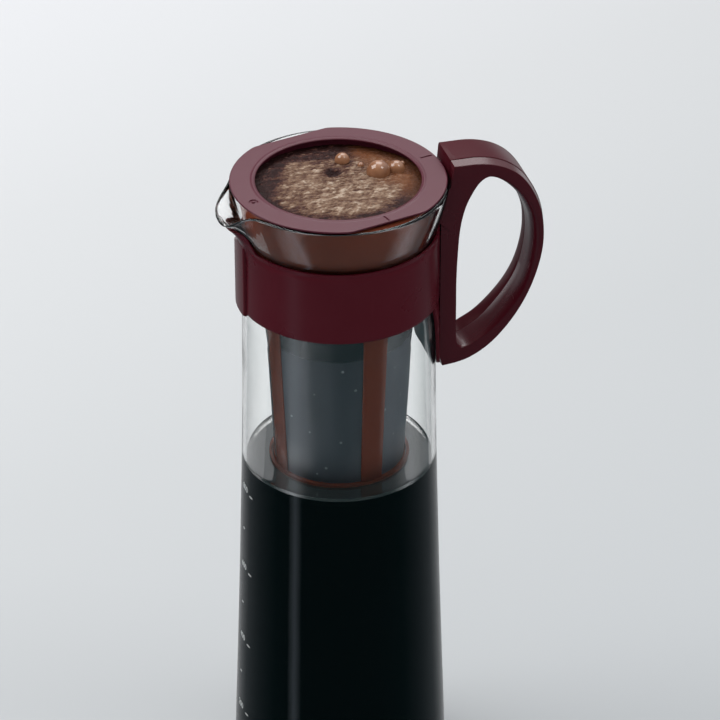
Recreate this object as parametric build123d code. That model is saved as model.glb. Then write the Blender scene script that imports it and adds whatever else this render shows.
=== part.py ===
from build123d import *
import math
import os

# Cold brew coffee maker: a glass jug with a neck band, a D handle, a turning top ring and a
# lift-out mesh strainer with a pull-off base cap.
# Millimetres. Origin at the centre of the jug's rest face, +Z up, +X to the handle, -X to the spout.

# ---------------------------------------------------------------- driving dimensions: glass jug
jug_height = 285.4          # rest face to the rim
glass_wall = 1.8
base_thickness = 3.2
base_radius = 45.5          # outside, just above the base corner
base_corner = 9.0           # outside radius of the base corner
belly_share = 0.492         # of the widening from shoulder to base, at belly_height
belly_height = 99.0
mouth_radius = 43.9         # outside, at the rim
flare_width = 5.5           # mouth to waist
shoulder_width = 1.0        # shoulder to waist
neck_length = 59.4          # shoulder to rim
flare_length = 29.4         # top of the waist to rim
waist_length = 18.0
mouth_length = 2.6          # upright part under the rim
flare_shares = [(0.0, 0.0), (0.20, 0.41), (0.51, 0.60), (0.82, 0.82), (1.0, 1.0)]

# ---------------------------------------------------------------- driving dimensions: spout
spout_projection = 8.7      # rim to the tip of the beak
spout_half_width = 15.5     # at its roots on the rim
spout_root_angle = 22.0     # degrees, from the beak's middle to its roots
spout_nose_radius = 5.0
spout_length = 26.0         # depth of the beak below the rim
spout_droop = 2.4           # how far the tip lies below the rim

# ---------------------------------------------------------------- driving dimensions: neck band
band_wall = 2.4
band_height = 28.4          # without the top bevel
band_bevel_height = 3.0
band_bevel_width = 0.9
band_drop = 2.4             # band reaches below the waist
band_seat = 0.2             # band to glass
tongue_wall = 1.5
tongue_half_width_top = 21.0
tongue_half_width_low = 14.5
tongue_length = 34.0        # below the band
pad_half_angle = 11.5       # degrees
pad_proud = 1.6
pad_drop = 1.6              # pad reaches below the band
horn_rise = 8.0             # horns above the band's upper edge
saddle_gap = 0.3            # band and pad to the beak

# ---------------------------------------------------------------- driving dimensions: handle
handle_width = 20.6
handle_span = 41.1          # rim to the outside of the grip
handle_rise = 7.8           # handle's top above the rim
handle_top_flat = 12.0      # straight run of the top, out from the rim
handle_foot_drop = 36.0     # handle's bottom below the band
widest_share = 0.39         # widest place of the grip, as a share of its height from the top
grip_wall = 5.7             # thickness of the grip at its widest place, seen from the side
leg_wall = 6.2              # thickness of the leg along the jug
gap_top_wall = 6.9          # thickness of the top over the finger gap
gap_top_round = 13.0        # rounding of the finger gap at the top of the leg: width
gap_top_rise = 19.0         # and height
gap_low_round = 3.5         # radius at the foot of the leg
gap_low_rise = 8.4          # lowest bend of the finger gap above the handle's bottom
gap_heel_slope = 24.0       # degrees, how its floor leaves that bend
gap_low_shares = [(0.58, 0.232), (0.895, 0.526)]    # points of its floor, to the widest place
cover_width = 6.2           # of the near side cover
cover_recess_depth = 0.5    # the cover's outer face lies this much inside the body's
handle_clearance = 0.4      # handle to glass, ring and band
grip_top_share = 0.663      # bend above the widest place: shares from the crest towards it
grip_top_drop_share = 0.318
grip_top_lean = 40.5        # degrees, how the outline faces there
grip_low_share = 0.70       # bend below the widest place: shares from the foot towards it
grip_low_rise_share = 0.338
grip_low_lean = 32.7        # degrees
heel_slope = 9.0            # degrees, how the underside leaves the leg
edge_bevel_width = 0.5
finger_round = 2.4
shell_wall = 2.2            # wall round the hollow of the grip
rail_drop = 24.0            # rail's length below the band
rail_depth = 2.6
rail_neck_half_width = 2.6
rail_head_half_width = 4.4
rail_fit = 0.15

# ---------------------------------------------------------------- driving dimensions: top ring
ring_inset = 0.3            # ring's outside, in from the jug's
ring_width = 10.3
ring_thickness = 2.7
ring_gap = 0.3              # ring to the glass rim
ring_edge_round = 0.9
ring_flat_depth = 3.4       # each flat, in from the ring's outside
ring_turn = 14.0            # degrees, how far the ring and strainer stand turned at rest
skirt_wall = 1.8
skirt_depth = 4.0
bead_height = 0.45
bead_length = 1.2
turn_fit = 0.25             # ring's skirt and bead to the funnel
mark_depth = 0.35
mark_radius = 2.1
mark_line = 0.7
mark_inset = 5.2            # middle of the round mark, in from the ring's outside
tick_length = 5.2

# ---------------------------------------------------------------- driving dimensions: strainer
funnel_gap = 1.2            # top of the funnel to the glass
funnel_wall = 1.5
funnel_depth = 27.6         # top of the funnel to its foot
funnel_foot_gap = 1.3       # foot of the funnel to the waist's glass
seat_taper_share = 0.4      # how much of the cone's slope the recess's wall takes
funnel_top_gap = 0.6        # top of the funnel under the ring
seat_depth = 5.0            # recess in the funnel that takes the ring's skirt
ledge_width = 4.3           # funnel's foot to the outside of the cage
cage_taper = 3.7            # how much slimmer the cage is at its lower hoop
cage_wall = 1.6
cage_length = 99.0          # from the funnel's foot to the bottom of the lower hoop
hoop_height = 2.6
rib_width = 11.5
rib_count = 4
mesh_wall = 0.5
cap_height = 4.0
cap_wall = 1.3
cap_fit = 0.3
cap_floor = 1.2
cap_cross_width = 4.0
cap_lip = 3.0               # width of the cap's floor ring

# ---------------------------------------------------------------- places worked out from them
waist_radius = mouth_radius - flare_width
shoulder_radius = waist_radius + shoulder_width
belly_radius = shoulder_radius + belly_share * (base_radius - shoulder_radius)
spout_reach = mouth_radius + spout_projection
handle_reach = mouth_radius + handle_span
shoulder_z = jug_height - neck_length
waist_top_z = jug_height - flare_length
waist_low_z = waist_top_z - waist_length
band_low_z = waist_low_z - band_drop
band_edge_z = band_low_z + band_height
band_top_z = band_edge_z + band_bevel_height
band_inner_radius = waist_radius + band_seat
band_outer_radius = band_inner_radius + band_wall
band_lip_radius = band_outer_radius - band_bevel_width
ring_radius = mouth_radius - ring_inset
ring_hole_radius = ring_radius - ring_width
ring_flat_distance = ring_radius - ring_flat_depth
mark_circle_radius = ring_radius - mark_inset
ring_low_z = jug_height + ring_gap
ring_top_z = ring_low_z + ring_thickness
funnel_top_z = ring_low_z - funnel_top_gap
funnel_foot_z = funnel_top_z - funnel_depth
funnel_radius = mouth_radius - glass_wall - funnel_gap
funnel_foot_radius = waist_radius - glass_wall - funnel_foot_gap
cage_top_radius = funnel_foot_radius - ledge_width
cage_low_radius = cage_top_radius - cage_taper
seat_radius = funnel_radius - 2 * funnel_wall + turn_fit
skirt_radius = seat_radius - turn_fit
cage_low_z = funnel_foot_z - cage_length
handle_top_z = jug_height + handle_rise
handle_low_z = band_low_z - handle_foot_drop
overshoot = 1.0             # how far a cutting tool runs past what it cuts


def ring_section(points):
    """Turn a closed outline of (radius, height) points into a solid of revolution."""
    face = make_face(Polyline([(r, 0, z) for r, z in points], close=True))
    return revolve(face, Axis.Z, 360)


def tube(outer, inner, low, high):
    """Straight ring between two radii and two heights."""
    return ring_section([(inner, low), (outer, low), (outer, high), (inner, high)])


def box_between(x0, x1, y0, y1, z0, z1):
    """Block between two corners."""
    centre = ((x0 + x1) / 2, (y0 + y1) / 2, (z0 + z1) / 2)
    return Pos(*centre) * Box(x1 - x0, y1 - y0, z1 - z0)


def sector(half_angle, reach, low, high, turn=0.0):
    """Wedge about +X, from -half_angle to +half_angle, turned about Z."""
    half = math.radians(half_angle)
    tip = (reach / math.cos(half))
    outline = Polyline(
        [(0, 0, low), (tip * math.cos(half), -tip * math.sin(half), low),
         (tip * math.cos(half), tip * math.sin(half), low)], close=True)
    return Rot(0, 0, turn) * extrude(make_face(outline), high - low, dir=(0, 0, 1))


# ---------------------------------------------------------------- glass jug
def lip_points(inset):
    """Points of the flare from the waist to the upright mouth, moved in by the wall."""
    mouth = mouth_radius - waist_radius
    flare = flare_length - mouth_length
    return [(waist_radius + mouth * out - inset, 0, waist_top_z + flare * up)
            for out, up in flare_shares]


def jug_outline(inset, floor, corner, top):
    """Closed half section of the jug, every wall moved in by inset."""
    foot = (base_radius - inset - corner, 0, floor)
    wall_start = (base_radius - inset, 0, floor + corner)
    belly = (belly_radius - inset, 0, belly_height)
    shoulder = (shoulder_radius - inset, 0, shoulder_z)
    waist_low = (waist_radius - inset, 0, waist_low_z)
    mouth = lip_points(inset)
    rise = (0, 0, 1)
    edges = [
        Line((0, 0, floor), foot),
        TangentArc(foot, wall_start, tangent=(1, 0, 0)),
        Spline([wall_start, belly, shoulder], tangents=[rise, rise]),
        Spline([shoulder, waist_low], tangents=[rise, rise]),
        Line(waist_low, mouth[0]),
        Spline(mouth, tangents=[rise, rise]),
        Line(mouth[-1], (mouth[-1][0], 0, top)),
        Line((mouth[-1][0], 0, top), (0, 0, top)),
        Line((0, 0, top), (0, 0, floor)),
    ]
    return make_face(edges)


def jug_envelope(growth=0.0, top=jug_height):
    """The jug without its spout as a full solid, grown by a clearance."""
    return revolve(jug_outline(-growth, -growth, base_corner, top), Axis.Z, 360)


def spout_plan(reach, half_width, nose, root, level):
    """Flat V with a round nose, open towards the jug, at one height."""
    nose_circle = Pos(-(reach - nose), 0, 0) * CenterArc((0, 0, 0), nose, 0, 360)
    root_line = Line((-root, -half_width), (-root, half_width))
    return Pos(0, 0, level) * make_hull(nose_circle.edges() + root_line.edges())


def spout_solid(inset, top):
    """Beak as a full solid, from a small foot on the wall to the rim, moved in by inset."""
    foot_z = jug_height - spout_length
    root = waist_radius * math.cos(math.radians(spout_root_angle)) - glass_wall
    slope = (spout_reach - waist_radius) / spout_length
    rise = top - jug_height
    upper = spout_plan(spout_reach - inset + slope * rise, spout_half_width - inset,
                       spout_nose_radius - inset, root, top)
    lower = spout_plan(waist_radius - inset, spout_nose_radius - inset,
                       (spout_nose_radius - inset) / 2, root - glass_wall, foot_z)
    return loft([lower, upper], ruled=True)


def make_glass_jug():
    outer = jug_envelope() + spout_solid(0.0, jug_height)
    inner = revolve(
        jug_outline(glass_wall, base_thickness, base_corner - glass_wall, jug_height + overshoot),
        Axis.Z, 360)
    inner += spout_solid(glass_wall, jug_height + overshoot)
    droop = math.degrees(math.atan2(spout_droop, spout_reach - mouth_radius))
    sheet = box_between(-2 * spout_reach, 0, -spout_reach, spout_reach, 0, spout_reach)
    sheet = Pos(-mouth_radius + glass_wall, 0, jug_height) * Rot(0, -droop, 0) * sheet
    return outer - inner - sheet


# ---------------------------------------------------------------- neck band and spout pad
def band_ring():
    """Band with a sloping top bevel."""
    return ring_section([
        (band_inner_radius + band_seat, band_low_z),
        (band_outer_radius, band_low_z),
        (band_outer_radius, band_edge_z),
        (band_lip_radius, band_top_z),
        (band_lip_radius - band_seat, band_top_z),
        (band_inner_radius, waist_top_z),
        (band_inner_radius, waist_low_z),
    ])


def tongue_plate():
    """Tapering plate that hugs the glass below the band, behind the handle."""
    low = band_low_z - tongue_length
    inner = shoulder_radius + band_seat
    plate = tube(inner + tongue_wall, inner, low, band_low_z + overshoot)
    corner = tongue_half_width_low / 3
    side = Polyline(
        [(0, -tongue_half_width_top, band_low_z + overshoot),
         (0, -tongue_half_width_low, low + corner),
         (0, -tongue_half_width_low + corner, low),
         (0, tongue_half_width_low - corner, low),
         (0, tongue_half_width_low, low + corner),
         (0, tongue_half_width_top, band_low_z + overshoot)], close=True)
    return plate & extrude(make_face(side), handle_reach, dir=(1, 0, 0))


def rail_prism(growth, low, high):
    """T rail that carries the handle, grown by a clearance."""
    root = shoulder_radius
    face_x = band_outer_radius
    neck = rail_neck_half_width + growth
    head = rail_head_half_width + growth
    head_x = face_x + rail_depth / 2 - growth
    tip_x = face_x + rail_depth + growth
    stem = box_between(root, tip_x, -neck, neck, low - growth, high + growth)
    return stem + box_between(head_x, tip_x, -head, head, low - growth, high + growth)


def handle_rail(growth=0.0):
    """The rail at its place on the band, from the tongue's foot to the band's upper edge."""
    return rail_prism(growth, band_low_z - rail_drop, band_edge_z - rail_drop / 4)


def make_neck_band():
    band = band_ring() + tongue_plate() + handle_rail()
    band -= jug_envelope(band_seat)
    band -= spout_solid(-saddle_gap, jug_height)
    return band - pad_space(pad_half_angle)


def pad_space(half_angle):
    """Where the pad is let into the band: its outer skin only."""
    skin = tube(band_outer_radius + pad_proud + overshoot, band_outer_radius - band_wall / 2,
                band_low_z - overshoot, band_top_z + overshoot)
    return skin & sector(half_angle, 2 * band_outer_radius, 0, jug_height, turn=180)


def make_spout_pad():
    """Pad under the beak, with a horn on each side of it."""
    low = band_low_z - pad_drop
    high = band_edge_z + horn_rise
    inner = band_outer_radius - band_wall / 2 + band_seat / 2
    outer = band_outer_radius + pad_proud
    pad = tube(outer, inner, low, high)
    pad &= sector(pad_half_angle, 2 * outer, 0, jug_height, turn=180)
    pad -= jug_envelope(saddle_gap)
    pad -= spout_solid(-saddle_gap, jug_height)
    return pad


# ---------------------------------------------------------------- handle
def lean_point(x, z, lean, inset):
    """Point of the handle's outline, set in along the direction that the outline faces."""
    facing = math.radians(lean)
    return (x - inset * math.cos(facing), 0, z - inset * math.sin(facing))


def grip_points(inset):
    """The grip's lower bend, widest place and upper bend, set in evenly."""
    widest_z = handle_top_z - widest_share * (handle_top_z - handle_low_z)
    crest_x = mouth_radius + handle_top_flat
    heel_x = shoulder_radius + leg_wall
    bend_low = lean_point(
        heel_x + grip_low_share * (handle_reach - heel_x),
        handle_low_z + grip_low_rise_share * (widest_z - handle_low_z), -grip_low_lean, inset)
    bend_top = lean_point(
        crest_x + grip_top_share * (handle_reach - crest_x),
        handle_top_z - grip_top_drop_share * (handle_top_z - widest_z), grip_top_lean, inset)
    return bend_low, (handle_reach - inset, 0, widest_z), bend_top


def rising_curve(start, slope, *points):
    """Smooth curve from a start at a slope in degrees to an upright end."""
    run = math.radians(slope)
    return Spline([start, *points], tangents=[(math.cos(run), 0, math.sin(run)), (0, 0, 1)])


def closing_curve(widest, bend_top, crest):
    """Smooth curve from the upright widest place over the upper bend to a level crest."""
    return Spline([widest, bend_top, crest], tangents=[(0, 0, 1), (-1, 0, 0)])


def handle_face(inset):
    """The D's outline as a face, set in: flat top, round shoulder, long curve, foot."""
    start_x = shoulder_radius
    top = handle_top_z - inset
    low = handle_low_z + inset
    bend_low, widest, bend_top = grip_points(inset)
    crest = (mouth_radius + handle_top_flat, 0, top)
    heel = (shoulder_radius + leg_wall, 0, low)
    return make_face([
        Line((start_x, 0, low), heel),
        rising_curve(heel, heel_slope, bend_low, widest),
        closing_curve(widest, bend_top, crest),
        Line(crest, (start_x, 0, top)),
        Line((start_x, 0, top), (start_x, 0, low)),
    ])


def gap_face():
    """The finger gap's outline as a face: every curve runs smoothly into the next."""
    leg_x = band_outer_radius + leg_wall
    run = math.radians(gap_heel_slope)
    _, widest, bend_top = grip_points(grip_wall)
    heel = (leg_x + gap_low_round * (1 + math.sin(run)), 0, handle_low_z + gap_low_rise)
    leg_foot = (leg_x, 0, heel[2] + gap_low_round * math.cos(run))
    floor = [(leg_x + out * (widest[0] - leg_x), 0, heel[2] + up * (widest[2] - heel[2]))
             for out, up in gap_low_shares]
    crest = (leg_x + gap_top_round, 0, handle_top_z - gap_top_wall)
    steps = [math.radians(angle) for angle in (0, 22.5, 45, 67.5, 90)]
    corner = [(crest[0] - gap_top_round * math.sin(step), 0,
               crest[2] - gap_top_rise * (1 - math.cos(step))) for step in steps]
    return make_face([
        TangentArc(leg_foot, heel, tangent=(0, 0, -1)),
        rising_curve(heel, gap_heel_slope, *floor, widest),
        closing_curve(widest, bend_top, crest),
        Spline(corner, tangents=[(-1, 0, 0), (0, 0, -1)]),
        Line(corner[-1], leg_foot),
    ])


def finger_gap(y_low, y_high):
    """The finger gap between two side planes."""
    return Pos(0, y_low, 0) * extrude(gap_face(), y_high - y_low, dir=(0, 1, 0))


def handle_slab(step, y_low, y_high):
    """The D between two side planes, with its finger gap."""
    slab = extrude(handle_face(step), y_high - y_low, dir=(0, 1, 0))
    return Pos(0, y_low, 0) * slab - finger_gap(y_low - overshoot, y_high + overshoot)


def jug_side_space():
    """What the handle keeps clear of: glass, band, tongue, ring and the rail's slot."""
    space = jug_envelope(handle_clearance, top=jug_height)
    space += tube(mouth_radius + handle_clearance, 0, jug_height - mouth_length,
                  handle_top_z + overshoot)
    space += tube(band_outer_radius + handle_clearance / 2, waist_radius,
                  handle_low_z - overshoot, band_top_z + handle_clearance / 2)
    return space + handle_rail(rail_fit)


def side_face(slab, y_side):
    """The slab's flat side on -Y or +Y."""
    return slab.faces().filter_by(Axis.Y).sort_by(Axis.Y)[0 if y_side < 0 else -1]


def rounded(slab, y_side):
    """Soften the edges of the outside and of the finger gap on one side plane."""
    outside = [edge for edge in side_face(slab, y_side).outer_wire().edges()
               if edge.center().X > shoulder_radius + overshoot]
    slab = chamfer(outside, edge_bevel_width)
    return fillet(side_face(slab, y_side).inner_wires()[0].edges(), finger_round)


def grip_hollow(y_low, y_high):
    """Hollow of the grip, a wall inside the D and clear of the leg."""
    section = handle_face(shell_wall) - handle_face(grip_wall - shell_wall)
    hollow = Pos(0, y_low, 0) * extrude(section, y_high - y_low, dir=(0, 1, 0))
    clear_x = mouth_radius + handle_top_flat
    return hollow & box_between(clear_x, 2 * handle_reach, y_low - overshoot, y_high + overshoot,
                                handle_low_z, handle_top_z)


def make_handle_body():
    half = handle_width / 2
    split = -half + cover_width
    body = rounded(handle_slab(0.0, split, half), 1)
    body -= jug_side_space()
    return body - grip_hollow(split - overshoot, half - shell_wall)


def make_handle_cover():
    half = handle_width / 2
    split = -half + cover_width
    cover = rounded(handle_slab(cover_recess_depth, -half, split), -1)
    cover -= jug_side_space()
    return cover - grip_hollow(-half + shell_wall, split + overshoot)


# ---------------------------------------------------------------- top ring
def ring_plate():
    """Flat ring with two straight flats and softened edges."""
    plate = tube(ring_radius, ring_hole_radius, ring_low_z, ring_top_z)
    window = box_between(-ring_radius, ring_radius, -ring_flat_distance, ring_flat_distance,
                         ring_low_z - overshoot, ring_top_z + overshoot)
    plate &= window
    top_face = plate.faces().sort_by(Axis.Z)[-1]
    return fillet(top_face.edges(), ring_edge_round)


def round_mark():
    """Engraved circle, opposite the handle."""
    mark = tube(mark_radius, mark_radius - mark_line, ring_top_z - mark_depth,
                ring_top_z + overshoot)
    return Pos(-mark_circle_radius, 0, 0) * mark


def tick_mark(turn):
    """Engraved radial line."""
    middle = (ring_hole_radius + ring_radius) / 2
    tick = box_between(middle - tick_length / 2, middle + tick_length / 2, -mark_line / 2,
                       mark_line / 2, ring_top_z - mark_depth, ring_top_z + overshoot)
    return Rot(0, 0, turn) * tick


def make_top_ring():
    ring = ring_plate()
    skirt_low = ring_low_z - skirt_depth
    ring += tube(skirt_radius, skirt_radius - skirt_wall, skirt_low, ring_low_z + ring_edge_round)
    ring += tube(skirt_radius + bead_height, skirt_radius - skirt_wall / 2,
                 skirt_low + bead_length / 2, skirt_low + 3 * bead_length / 2)
    ring -= round_mark()
    for turn in (0, -90):
        ring -= tick_mark(turn)
    return Rot(0, 0, ring_turn) * ring


# ---------------------------------------------------------------- strainer
def cage_radius(z):
    """Outside radius of the cage at a height."""
    share = (z - cage_low_z) / (funnel_foot_z - cage_low_z)
    return cage_low_radius + share * (cage_top_radius - cage_low_radius)


def cage_shell(low, high, outer_inset, wall):
    """Tapering shell of the cage between two heights, set in from its outside."""
    low_radius = cage_radius(low) - outer_inset
    high_radius = cage_radius(high) - outer_inset
    return ring_section([(low_radius - wall, low), (low_radius, low),
                         (high_radius, high), (high_radius - wall, high)])


def funnel_shell():
    """Funnel with a recess for the ring's skirt, a bead groove and a foot to the cage."""
    seat_low = funnel_top_z - seat_depth
    slope = (funnel_radius - funnel_foot_radius) / funnel_depth
    mid = funnel_radius - seat_taper_share * seat_depth * slope
    foot_inner = cage_top_radius - cage_wall
    shell = ring_section([
        (foot_inner, funnel_foot_z), (funnel_foot_radius, funnel_foot_z),
        (mid, seat_low), (funnel_radius, funnel_top_z),
        (seat_radius, funnel_top_z), (seat_radius, seat_low),
        (mid - 2 * funnel_wall, seat_low),
        (funnel_foot_radius - funnel_wall, funnel_foot_z + funnel_wall),
        (foot_inner, funnel_foot_z + funnel_wall),
    ])
    bead_low = ring_low_z - skirt_depth + bead_length / 2
    groove = tube(seat_radius + bead_height, seat_radius - overshoot,
                  bead_low - turn_fit, bead_low + bead_length + turn_fit)
    return shell - groove


def rib(turn):
    """One upright rib of the cage, cut by two radial planes."""
    shell = cage_shell(cage_low_z, funnel_foot_z, 0.0, cage_wall)
    half_angle = math.degrees(math.asin(rib_width / 2 / cage_top_radius))
    return shell & sector(half_angle, 2 * cage_top_radius, 0, jug_height, turn=turn)


def make_strainer_frame():
    frame = funnel_shell()
    for index in range(rib_count):
        frame += rib(ring_turn + index * 360 / rib_count)
    frame += cage_shell(funnel_foot_z - hoop_height, funnel_foot_z, 0.0, cage_wall)
    return frame + cage_shell(cage_low_z, cage_low_z + hoop_height, 0.0, cage_wall)


def make_mesh_panel(index):
    """Curved mesh panel between two ribs and the two hoops."""
    inset = (cage_wall - mesh_wall) / 2
    shell = cage_shell(cage_low_z + hoop_height, funnel_foot_z - hoop_height, inset, mesh_wall)
    half_rib = math.degrees(math.asin(rib_width / 2 / cage_top_radius))
    half_angle = 180 / rib_count - half_rib
    middle = ring_turn + (index + 0.5) * 360 / rib_count
    return shell & sector(half_angle, 2 * cage_top_radius, 0, jug_height, turn=middle)


def cap_bore_radius():
    """Bore of the cap, over the lower hoop."""
    return cage_radius(cage_low_z + cap_height) + cap_fit


def make_base_cap():
    """Pull-off cap: a rim round the lower hoop and a floor ring with a cross."""
    bore = cap_bore_radius()
    outer = bore + cap_wall
    floor_top = cage_low_z - cap_fit
    floor_low = floor_top - cap_floor
    rim_top = cage_low_z + cap_height - cap_floor
    cap = tube(outer, bore, floor_low, rim_top)
    cap += tube(outer, bore - cap_lip, floor_low, floor_top)
    for turn in (0, 90):
        bar = box_between(-bore, bore, -cap_cross_width / 2, cap_cross_width / 2,
                          floor_low, floor_top)
        cap += Rot(0, 0, ring_turn + turn) * bar
    return cap - base_mesh_disc()


def base_mesh_disc():
    """Round mesh moulded into the middle of the cap's floor."""
    middle = cage_low_z - cap_fit - cap_floor / 2
    radius = cap_bore_radius() - cap_lip / 2
    return tube(radius, 0, middle - mesh_wall / 2, middle + mesh_wall / 2)


# ---------------------------------------------------------------- write every piece
def make_parts():
    parts = {
        "glass_jug": make_glass_jug(),
        "neck_band": make_neck_band(),
        "spout_pad": make_spout_pad(),
        "handle_body": make_handle_body(),
        "handle_cover": make_handle_cover(),
        "top_ring": make_top_ring(),
        "strainer_frame": make_strainer_frame(),
        "base_cap": make_base_cap(),
        "base_mesh": base_mesh_disc(),
    }
    for index in range(rib_count):
        parts[f"mesh_panel_{index + 1}"] = make_mesh_panel(index)
    return parts


os.makedirs("parts", exist_ok=True)
for name, shape in make_parts().items():
    export_step(shape, f"parts/{name}.step")
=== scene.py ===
import logging
import math
from dataclasses import dataclass, field
from enum import Enum

import bpy
import numpy as np
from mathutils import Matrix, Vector


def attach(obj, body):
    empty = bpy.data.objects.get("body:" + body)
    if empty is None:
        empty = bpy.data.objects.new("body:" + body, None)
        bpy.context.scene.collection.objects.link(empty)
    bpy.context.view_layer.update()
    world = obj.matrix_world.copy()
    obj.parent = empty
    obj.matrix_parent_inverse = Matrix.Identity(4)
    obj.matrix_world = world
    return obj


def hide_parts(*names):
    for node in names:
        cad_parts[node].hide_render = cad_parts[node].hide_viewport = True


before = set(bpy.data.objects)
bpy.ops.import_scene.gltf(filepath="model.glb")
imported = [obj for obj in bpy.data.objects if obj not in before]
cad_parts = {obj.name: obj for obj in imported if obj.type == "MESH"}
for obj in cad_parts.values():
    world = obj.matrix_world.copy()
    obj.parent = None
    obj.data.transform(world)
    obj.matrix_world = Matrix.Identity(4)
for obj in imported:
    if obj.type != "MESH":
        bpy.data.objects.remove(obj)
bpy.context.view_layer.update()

# Cold brew coffee maker: a glass jug with a neck band, a D handle, a turning top ring and a
# lift-out mesh strainer, filled with coffee and wet grounds. Lengths are millimetres until a mesh
# is written; the mesh itself is in metres.

LOG = logging.getLogger("coffee_maker")
MM = 0.001
TAU = 2.0 * math.pi
WAVES = 5                 # slanted waves in one octave of a ripple
OCTAVE_FADE = 1.7         # how much lower each finer octave is
PANELS = 4                # mesh panels, and ribs between them
Array = np.ndarray
Colour = tuple[float, float, float, float]


# ------------------------------------------------------------------------------------ curves
def smooth_step(share: Array) -> Array:
    """S-curve 3t^2 - 2t^3 of a share that is held between 0 and 1."""
    held = np.clip(share, 0.0, 1.0)
    return held * held * (3.0 - 2.0 * held)


def smooth_curve(knots_x: Array, knots_y: Array, x: Array) -> Array:
    """Monotone cubic through knots: Hermite pieces whose slopes are harmonic means.

    Args:
        knots_x: rising knot places.
        knots_y: knot values.
        x: where the curve is wanted.

    Returns:
        The curve's values, held at the end values outside the knots.
    """
    kx, ky = np.asarray(knots_x, float), np.asarray(knots_y, float)
    step = np.diff(kx)
    chord = np.diff(ky) / step
    slope = np.zeros_like(ky)
    left, right = chord[:-1], chord[1:]
    same = left * right > 0
    total = np.where(same, left + right, 1.0)
    slope[1:-1] = np.where(same, 2.0 * left * right / total, 0.0)
    slope[0], slope[-1] = chord[0], chord[-1]
    held = np.clip(x, kx[0], kx[-1])
    span = np.clip(np.searchsorted(kx, held, side="right") - 1, 0, len(step) - 1)
    t = (held - kx[span]) / step[span]
    t2, t3 = t * t, t * t * t
    return ((2 * t3 - 3 * t2 + 1) * ky[span] + (t3 - 2 * t2 + t) * step[span] * slope[span]
            + (-2 * t3 + 3 * t2) * ky[span + 1] + (t3 - t2) * step[span] * slope[span + 1])


def spline(points: Array, fine: int = 24, closed: bool = False) -> Array:
    """Cubic spline through points, smooth in slope and curvature.

    The curve's parameter is the running chord length; the second derivatives at the points solve
    one linear system, with free ends or joined into a loop.

    Args:
        points: n x 2 points; a loop doesn't repeat its first point.
        fine: steps between two points.
        closed: whether the curve is a loop.

    Returns:
        Points of the curve; every fine-th one is a given point.
    """
    knots = np.vstack([points, points[:1]]) if closed else points
    step = np.hypot(*np.diff(knots, axis=0).T)
    slope = np.diff(knots, axis=0) / step[:, None]
    count = len(points)
    system, right = np.eye(count), np.zeros((count, 2))
    inner = np.arange(count) if closed else np.arange(1, count - 1)
    before, after = (inner - 1) % len(step), inner % len(step)
    system[inner, (inner - 1) % count] = step[before]
    system[inner, inner] = 2.0 * (step[before] + step[after])
    system[inner, (inner + 1) % count] = step[after]
    right[inner] = 6.0 * (slope[after] - slope[before])
    bend = np.linalg.solve(system, right)
    bend = np.vstack([bend, bend[:1]]) if closed else bend
    t = (np.arange(fine) / fine)[None, :, None]
    h = step[:, None, None]
    a, b = knots[:-1, None, :], knots[1:, None, :]
    line = (a * (1 - t) + b * t + h * h / 6.0 * (((1 - t) ** 3 - (1 - t)) * bend[:-1, None, :]
                                                 + (t ** 3 - t) * bend[1:, None, :]))
    return np.vstack([line.reshape(-1, 2), knots[-1:]])


def resample(points: Array, count: int) -> Array:
    """Points spaced evenly by arc length along a polyline.

    Args:
        points: n x 2 corner points.
        count: how many points are wanted, both ends included.

    Returns:
        count x 2 points.
    """
    run = np.concatenate([[0.0], np.cumsum(np.hypot(*np.diff(points, axis=0).T))])
    at = np.linspace(0.0, run[-1], count)
    return np.stack([np.interp(at, run, points[:, 0]), np.interp(at, run, points[:, 1])], axis=1)


def arc(centre: tuple[float, float], radius: float, start: float, end: float, count: int) -> Array:
    """Circle arc (centre + radius * (cos a, sin a)) between two angles in degrees."""
    angle = np.radians(np.linspace(start, end, count))
    return np.stack([centre[0] + radius * np.cos(angle), centre[1] + radius * np.sin(angle)], axis=1)


def wrap_angle(angle: Array) -> Array:
    """Angle moved into the turn from -pi to pi."""
    return (angle + math.pi) % TAU - math.pi


def dense_turn(count: int, places: tuple[float, ...], width: float, gain: float) -> Array:
    """Angles round a full turn, closer together near some places.

    The density is 1 plus a bell of the given gain and width at each place, and the angles are
    equal shares of its running sum.

    Args:
        count: number of angles.
        places: degrees where more angles are wanted.
        width: half width of each bell in degrees.
        gain: height of each bell.

    Returns:
        count rising angles in radians.
    """
    fine = np.linspace(-math.pi, math.pi, 7201)
    density = np.ones_like(fine)
    for place in places:
        away = np.degrees(wrap_angle(fine - math.radians(place)))
        density += gain * np.exp(-(away / width) ** 2)
    run = np.concatenate([[0.0], np.cumsum((density[1:] + density[:-1]) / 2.0)])
    return np.interp(np.arange(count) / count * run[-1], run, fine)


def even_turn(count: int) -> Array:
    """Angles in equal steps round a full turn."""
    return np.linspace(-math.pi, math.pi, count + 1)[:-1]


def ripple(x: Array, y: Array, seed: int, octaves: int = 4, scale: float = 1.0) -> Array:
    """Fixed sum of slanted sine waves, each octave finer and lower, between about -1 and 1.

    Args:
        x: places.
        y: places.
        seed: makes the waves the same every time.
        octaves: how many times the waves are repeated, each time twice as fine.
        scale: radians per unit of length in the first octave.

    Returns:
        Heights.
    """
    rng = np.random.default_rng(seed)
    total = np.zeros(np.broadcast(x, y).shape)
    weight = 0.0
    for octave in range(octaves):
        pitch = scale * 2.0 ** octave
        part = 0.0
        for turn, phase in rng.uniform(0.0, TAU, (WAVES, 2)):
            part = part + np.sin(pitch * (x * math.cos(turn) + y * math.sin(turn)) + phase)
        total = total + part / WAVES / OCTAVE_FADE ** octave
        weight += 1.0 / OCTAVE_FADE ** octave
    return total / weight


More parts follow.
